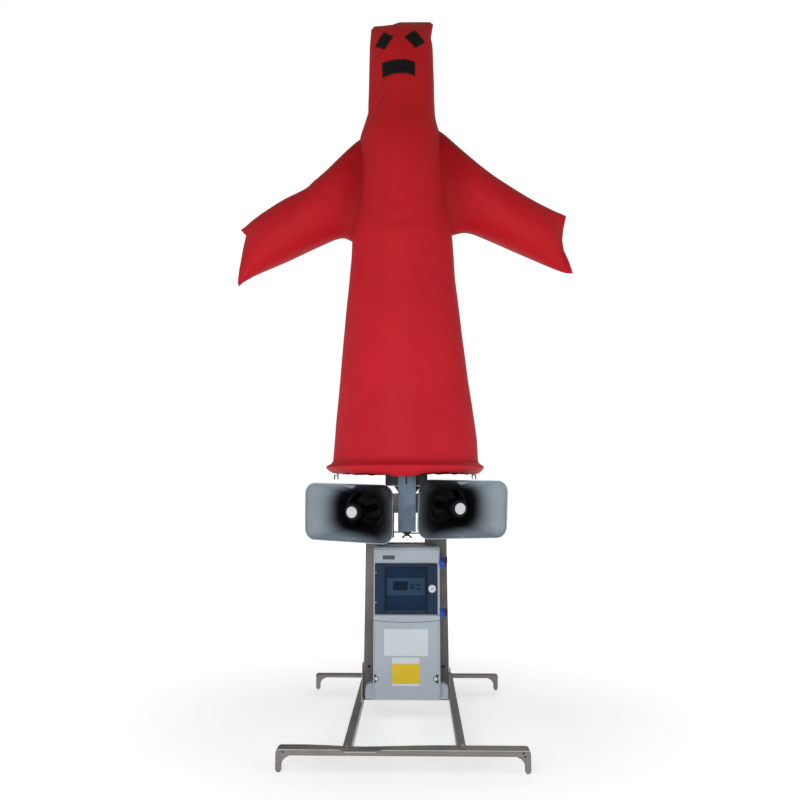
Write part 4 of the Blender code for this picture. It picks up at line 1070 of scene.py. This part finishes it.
class SCARECROW_OT_box(bpy.types.Operator):
    """Finish the control box and add its lip with a strip of painted shadow under it, its plates, and the
    painted shade of its screw recesses
    """

    bl_idname = "scarecrow.box"
    bl_label = "Control box"

    def execute(self, context):
        shell = moulded("light grey box plastic", context.scene.scarecrow_box.shell, 0.46, 1.6, 0.05)
        dress("box_base box_cover", shell)
        finish_piece(self.lip("box_lip", 0.0048, 0.0), shell)
        # Painted shadow: a dark strip just under the lip stands in for the lip's shadow.
        lip_shadow_finish = moulded("painted lip shadow plastic", (0.085, 0.098, 0.108), 0.6, 1.0, 0.1, 0.2, 0.2)
        finish_piece(self.lip("box_lip_painted_shadow", 0.0007, -0.0021), lip_shadow_finish)
        fit_blocks("box_lid_lines", shell, (
            (-94, -80.9, 92.5, -90.5, -79.2, 318, 0.5, 2), (102.5, -80.9, 92.5, 106, -79.2, 318, 0.5, 2),
            (-90.5, -81.5, 529, 102.5, -79.2, 532.5, 0.7, 2),
            (-90.5, -80.7, 492.5, 102.5, -79.2, 494.8, 0.5, 2)))
        fit_blocks("box_plate_small", moulded("dark plate plastic", (0.045, 0.050, 0.056), 0.4),
                   ((-66.5, -80.3, 502.6, -30.1, -79.3, 514.5, 0.3, 2),))
        # Painted shade: a dark ring and wedges stand in for the shade in the recesses round the cover screws.
        black = moulded("painted recess shade plastic", (0.010, 0.011, 0.013), 0.5, 1.0, 0.1, 0.3)
        finish_piece(joined("screw_recesses", self.recesses()), black)
        white = moulded("white label film", (0.60, 0.65, 0.69), 0.42, 0.5, 0.04, 1.0, 0.3)
        dress("label_white", white)
        dress("label_yellow", moulded("yellow label film", (0.70, 0.49, 0.020), 0.42, 0.5, 0.05, 0.4, 0.2))
        dress("cover_screw_left cover_screw_right door_lock",
              moulded("white screw plastic", (0.58, 0.63, 0.68), 0.34))
        fit_blocks("label_strips", white, (
            (-37.9, -80.4, 196, 44, -79.8, 214.5, 0.2, 1), (-37.9, -80.4, 132, 44, -79.8, 139, 0.2, 1)))
        return {"FINISHED"}

    @staticmethod
    def recesses():
        """A ring and two wedges round each cover screw, dark with the painted shade of its recess."""
        made = []
        for side, x in ((-1, -0.0844), (1, 0.0916)):
            for rise in (-1, 1):
                wedge = start_piece("wedge", bpy.ops.mesh.primitive_cylinder_add, vertices=3, radius=0.0066,
                                    depth=0.0010)
                round_edges(0.0002, 1)
                leave_edit()
                place = at(x + side * 0.0050, BOX_FRONT - 0.0003, 0.1528 + rise * 0.0085)
                made.append(set_in_place(wedge, place @ TO_FRONT @ turned(45 * side * rise, "Z")))
        for x in (-0.0844, 0.0916):
            ring = boss("ring", 0.0072, 0.0005, (), 32, 0.0001)
            made.append(set_in_place(ring, at(x, BOX_FRONT, 0.1528) @ TO_FRONT))
        return made

    @staticmethod
    def lip(name, proud, drop):
        """A bar whose lower edge bows down in the middle: the moulded lip under the window, and also the
        strip of painted shadow just under it.
        """
        left, right = -0.0935, 0.1055
        lip = start_block(name, (left, BOX_FRONT - proud, 0.3215 + drop),
                          (right, BOX_FRONT + 0.0006, 0.3385 + drop))
        cuts = [left + (right - left) * k / 16 for k in range(17)]
        for x in cuts[1:-1]:
            bpy.ops.mesh.select_all(action="SELECT")
            bpy.ops.mesh.bisect(plane_co=(x, 0, 0), plane_no=(1, 0, 0))
        for k, x in enumerate(cuts):
            bow = -0.0030 + 0.0062 * abs(k / 8 - 1) ** 2.6
            pick("EDGE", lambda place, way: abs(place.x - x) < 1e-4 and abs(way.y) > 0.9 and place.z < 0.33)
            bpy.ops.transform.translate(value=(0, 0, bow))
        pick("EDGE", lambda place, way: abs(way.x) > 0.7 and place.y < BOX_FRONT - proud + 1e-4)
        round_edges(proud * 0.35, 3)
        leave_edit()
        return lip


class SCARECROW_OT_window(bpy.types.Operator):
    """Finish the smoked window, the panel behind it and the timer"""

    bl_idname = "scarecrow.window"
    bl_label = "Window and timer"

    def execute(self, context):
        matt = {"soft": 0.1, "dusty": 0.1, "gloss": 0.1}
        dusty = {**matt, "dusty": 0.3}
        dress("window_door", smoked_clear("smoked window plastic", context.scene.scarecrow_box.window))
        dress("inner_panel", moulded("dark blue panel", (0.026, 0.080, 0.190), 0.5, **dusty))
        dress("timer_unit", moulded("timer case plastic", (0.130, 0.260, 0.460), 0.5, **dusty))
        dress("timer_screen", moulded("timer screen", (0.002, 0.003, 0.006), 0.16, 0.2, **matt))
        trim_plastic = moulded("dark trim plastic", (0.004, 0.007, 0.014), 0.5, **matt)
        fit_blocks("timer_trims", trim_plastic, (
            (-55.5, -60, 446.6, 62.2, -56.2, 448.2, 0.3, 1), (-55.5, -60, 390, 62.2, -56.2, 391.6, 0.3, 1),
            (-56, -57.5, 477, 65, -56, 479, 0.3, 1)))
        key_rubber = moulded("timer key rubber", (0.002, 0.003, 0.005), 0.6, **matt)
        fit_blocks("timer_keys", key_rubber, [
            (x - half, -61.1, z - 2.5, x + half, -59.7, z + 2.5, 0.5, 2) for x, z, half in TIMER_KEYS])
        frame_plastic = moulded("window frame plastic", (0.003, 0.006, 0.014), 0.35, 1.0, 0.1, 0.1, 0.15)
        fit_blocks("window_frame", frame_plastic, (
            (-61.2, -83.7, 343, -57.4, -83, 489.5, 0.2, 1), (66, -83.7, 343, 69.8, -83, 489.5, 0.2, 1),
            (-89.5, -83.7, 341.6, 97.8, -83, 343.6, 0.2, 1), (-89.5, -83.7, 489, 97.8, -83, 490.8, 0.2, 1),
            (-56, -83.5, 479, 64.5, -83, 480, 0.1, 1),
            (61.8, -84.1, 406.5, 65.9, -83, 427.5, 0.8, 2)), "door")
        band_plastic = moulded("window band plastic", (0.008, 0.024, 0.056), 0.30, 0.6, 0.1, 0.1, 0.15)
        fit_blocks("window_bands", band_plastic, (
            (-89.5, -83.4, 344, -61.4, -83, 488.6, 0.1, 1), (70, -83.4, 344, 97.8, -83, 488.6, 0.1, 1),
            (-57.2, -83.4, 481.2, 65.8, -83, 488.6, 0.1, 1),
            (-57.2, -83.4, 344, 65.8, -83, 352.2, 0.1, 1)), "door")
        fit_blocks("hinge_nubs", moulded("white nub plastic", (0.55, 0.58, 0.62), 0.35), (
            (-88.6, -84.2, 462.6, -85, -83.2, 465.4, 0.4, 2),
            (-88.6, -84.2, 374.6, -85, -83.2, 377.4, 0.4, 2)), "door")
        # Painted shade: a dark block on the lock knob stands in for the shade in its slot.
        slot = blocks("lock_slot", ((-5, -0.4, -0.8, 5, 0.3, 0.8, 0.2, 1),))
        set_in_place(slot, at(0.0826, -0.0873, 0.4168) @ turned(-40, "Y"))
        finish_piece(slot, moulded("painted slot shade plastic", (0.060, 0.066, 0.075), 0.5), "lock")
        return {"FINISHED"}


class SCARECROW_OT_sockets(bpy.types.Operator):
    """Finish the cable sockets on the side of the box"""

    bl_idname = "scarecrow.sockets"
    bl_label = "Cable sockets"

    def execute(self, context):
        black = moulded("black cap plastic", (0.008, 0.008, 0.009), 0.42, 1.0, 0.1, 0.4, 0.3)
        dress("socket_upper socket_lower",
              moulded("blue socket plastic", (0.020, 0.070, 0.42), 0.36, 1.0, 0.1, 0.4, 0.3))
        dress("socket_cap_upper socket_cap_lower", black)
        fit_blocks("socket_lids", black, (
            (116.8, -82.2, 493, 129, -79.2, 510.5, 0.6, 2), (116.8, -82.2, 344, 129, -79.2, 358, 0.6, 2)))
        return {"FINISHED"}


class SCARECROW_OT_stage(bpy.types.Operator):
    """Lay the pale, glowing floor, and set the soft light and the camera"""

    bl_idname = "scarecrow.stage"
    bl_label = "Floor, light and camera"

    def execute(self, context):
        stage = context.scene.scarecrow_stage
        floor = start_piece("floor", bpy.ops.mesh.primitive_circle_add, vertices=96, radius=14.0,
                            fill_type="NGON", location=(0, 0, -0.0008))
        leave_edit()
        pale = Finish("glowing pale floor")
        # Painted light: the floor glows at half strength within 0.5 m of the middle, rising to full strength
        # at 2.4 m.
        far = pale.add("VectorMath", {0: pale.place}, "Value", operation="LENGTH")
        pale.put(pale.shader, "Emission Color", (1.0, 1.0, 1.0))
        pale.put(pale.shader, "Emission Strength", pale.spread(far, 0.5, 2.4, 0.50, 1.0))
        floor.data.materials.append(pale.done(
            pale.mix(pale.cloud(2.0, 3.0), (0.88, 0.88, 0.88), (0.92, 0.92, 0.92)), 0.7))
        for name, place, aim, share, size in STUDIO_LIGHTS:
            lamp = bpy.data.lights.new(name, "AREA")
            lamp.energy = stage.key * share
            lamp.size = size
            light = linked(name, lamp)
            light.location = place
            way = Vector((0.0, 0.0, aim)) - Vector(place)
            light.rotation_euler = way.to_track_quat("-Z", "Y").to_euler()
        world = bpy.data.worlds.new("studio")
        context.scene.world = world
        world.use_nodes = True
        world.node_tree.nodes.clear()
        sky = Nodes(world.node_tree)
        height = sky.add("SeparateXYZ", {0: sky.add("TexCoord", out="Generated")}, "Z")
        tone = sky.mix(sky.spread(height, -0.1, 0.75), (0.42, 0.42, 0.43), (1.0, 1.0, 1.0))
        dim = sky.add("Background", {"Color": tone, "Strength": stage.fill})
        seen = sky.add("Background", {"Color": (1.0, 1.0, 1.0), "Strength": 1.0})
        rays = sky.add("LightPath", out="Is Camera Ray")
        sky.add("OutputWorld", {0: sky.add("MixShader", {0: rays, 1: dim, 2: seen})})
        lens = bpy.data.cameras.new("photo camera")
        lens.lens = stage.lens
        lens.sensor_width = 36.0
        lens.clip_end = 100.0
        camera = linked("photo_camera", lens)
        camera.location = (0.0356, -2.5371, 0.7223)
        camera.rotation_euler = (math.radians(96.168), 0.0, math.radians(1.158))
        context.scene.camera = camera
        context.scene.view_settings.view_transform = "Standard"
        return {"FINISHED"}


class SCARECROW_PT_panel(bpy.types.Panel):
    """Lists the scarecrow's pieces and their settings"""

    bl_idname = "SCARECROW_PT_panel"
    bl_label = "Scarecrow"
    bl_space_type = "VIEW_3D"
    bl_region_type = "UI"
    bl_category = "Scarecrow"

    def draw(self, context):
        for group in SETTINGS:
            column = self.layout.column(align=True)
            owner = getattr(context.scene, group)
            for name in owner.__annotations__:
                column.prop(owner, name)
        column = self.layout.column(align=True)
        for operator in OPERATORS:
            column.operator(operator.bl_idname)


SETTINGS = {
    "scarecrow_cloth": ClothSettings,
    "scarecrow_horns": HornSettings,
    "scarecrow_stand": StandSettings,
    "scarecrow_box": BoxSettings,
    "scarecrow_stage": StageSettings,
}
OPERATORS = (SCARECROW_OT_body, SCARECROW_OT_sleeves, SCARECROW_OT_face, SCARECROW_OT_horns,
             SCARECROW_OT_stand, SCARECROW_OT_fan, SCARECROW_OT_box, SCARECROW_OT_window,
             SCARECROW_OT_sockets, SCARECROW_OT_stage)


def register():
    for group, kind in SETTINGS.items():
        bpy.utils.register_class(kind)
        setattr(bpy.types.Scene, group, PointerProperty(type=kind))
    for kind in (*OPERATORS, SCARECROW_PT_panel):
        bpy.utils.register_class(kind)


def unregister():
    for kind in (SCARECROW_PT_panel, *reversed(OPERATORS)):
        bpy.utils.unregister_class(kind)
    for group, kind in reversed(SETTINGS.items()):
        delattr(bpy.types.Scene, group)
        bpy.utils.unregister_class(kind)


def main():
    register()
    clear_selection()
    bpy.ops.scarecrow.body()
    bpy.ops.scarecrow.sleeves()
    bpy.ops.scarecrow.face()
    bpy.ops.scarecrow.horns()
    bpy.ops.scarecrow.stand()
    bpy.ops.scarecrow.fan()
    bpy.ops.scarecrow.box()
    bpy.ops.scarecrow.window()
    bpy.ops.scarecrow.sockets()
    bpy.ops.scarecrow.stage()


if __name__ == "__main__":
    main()
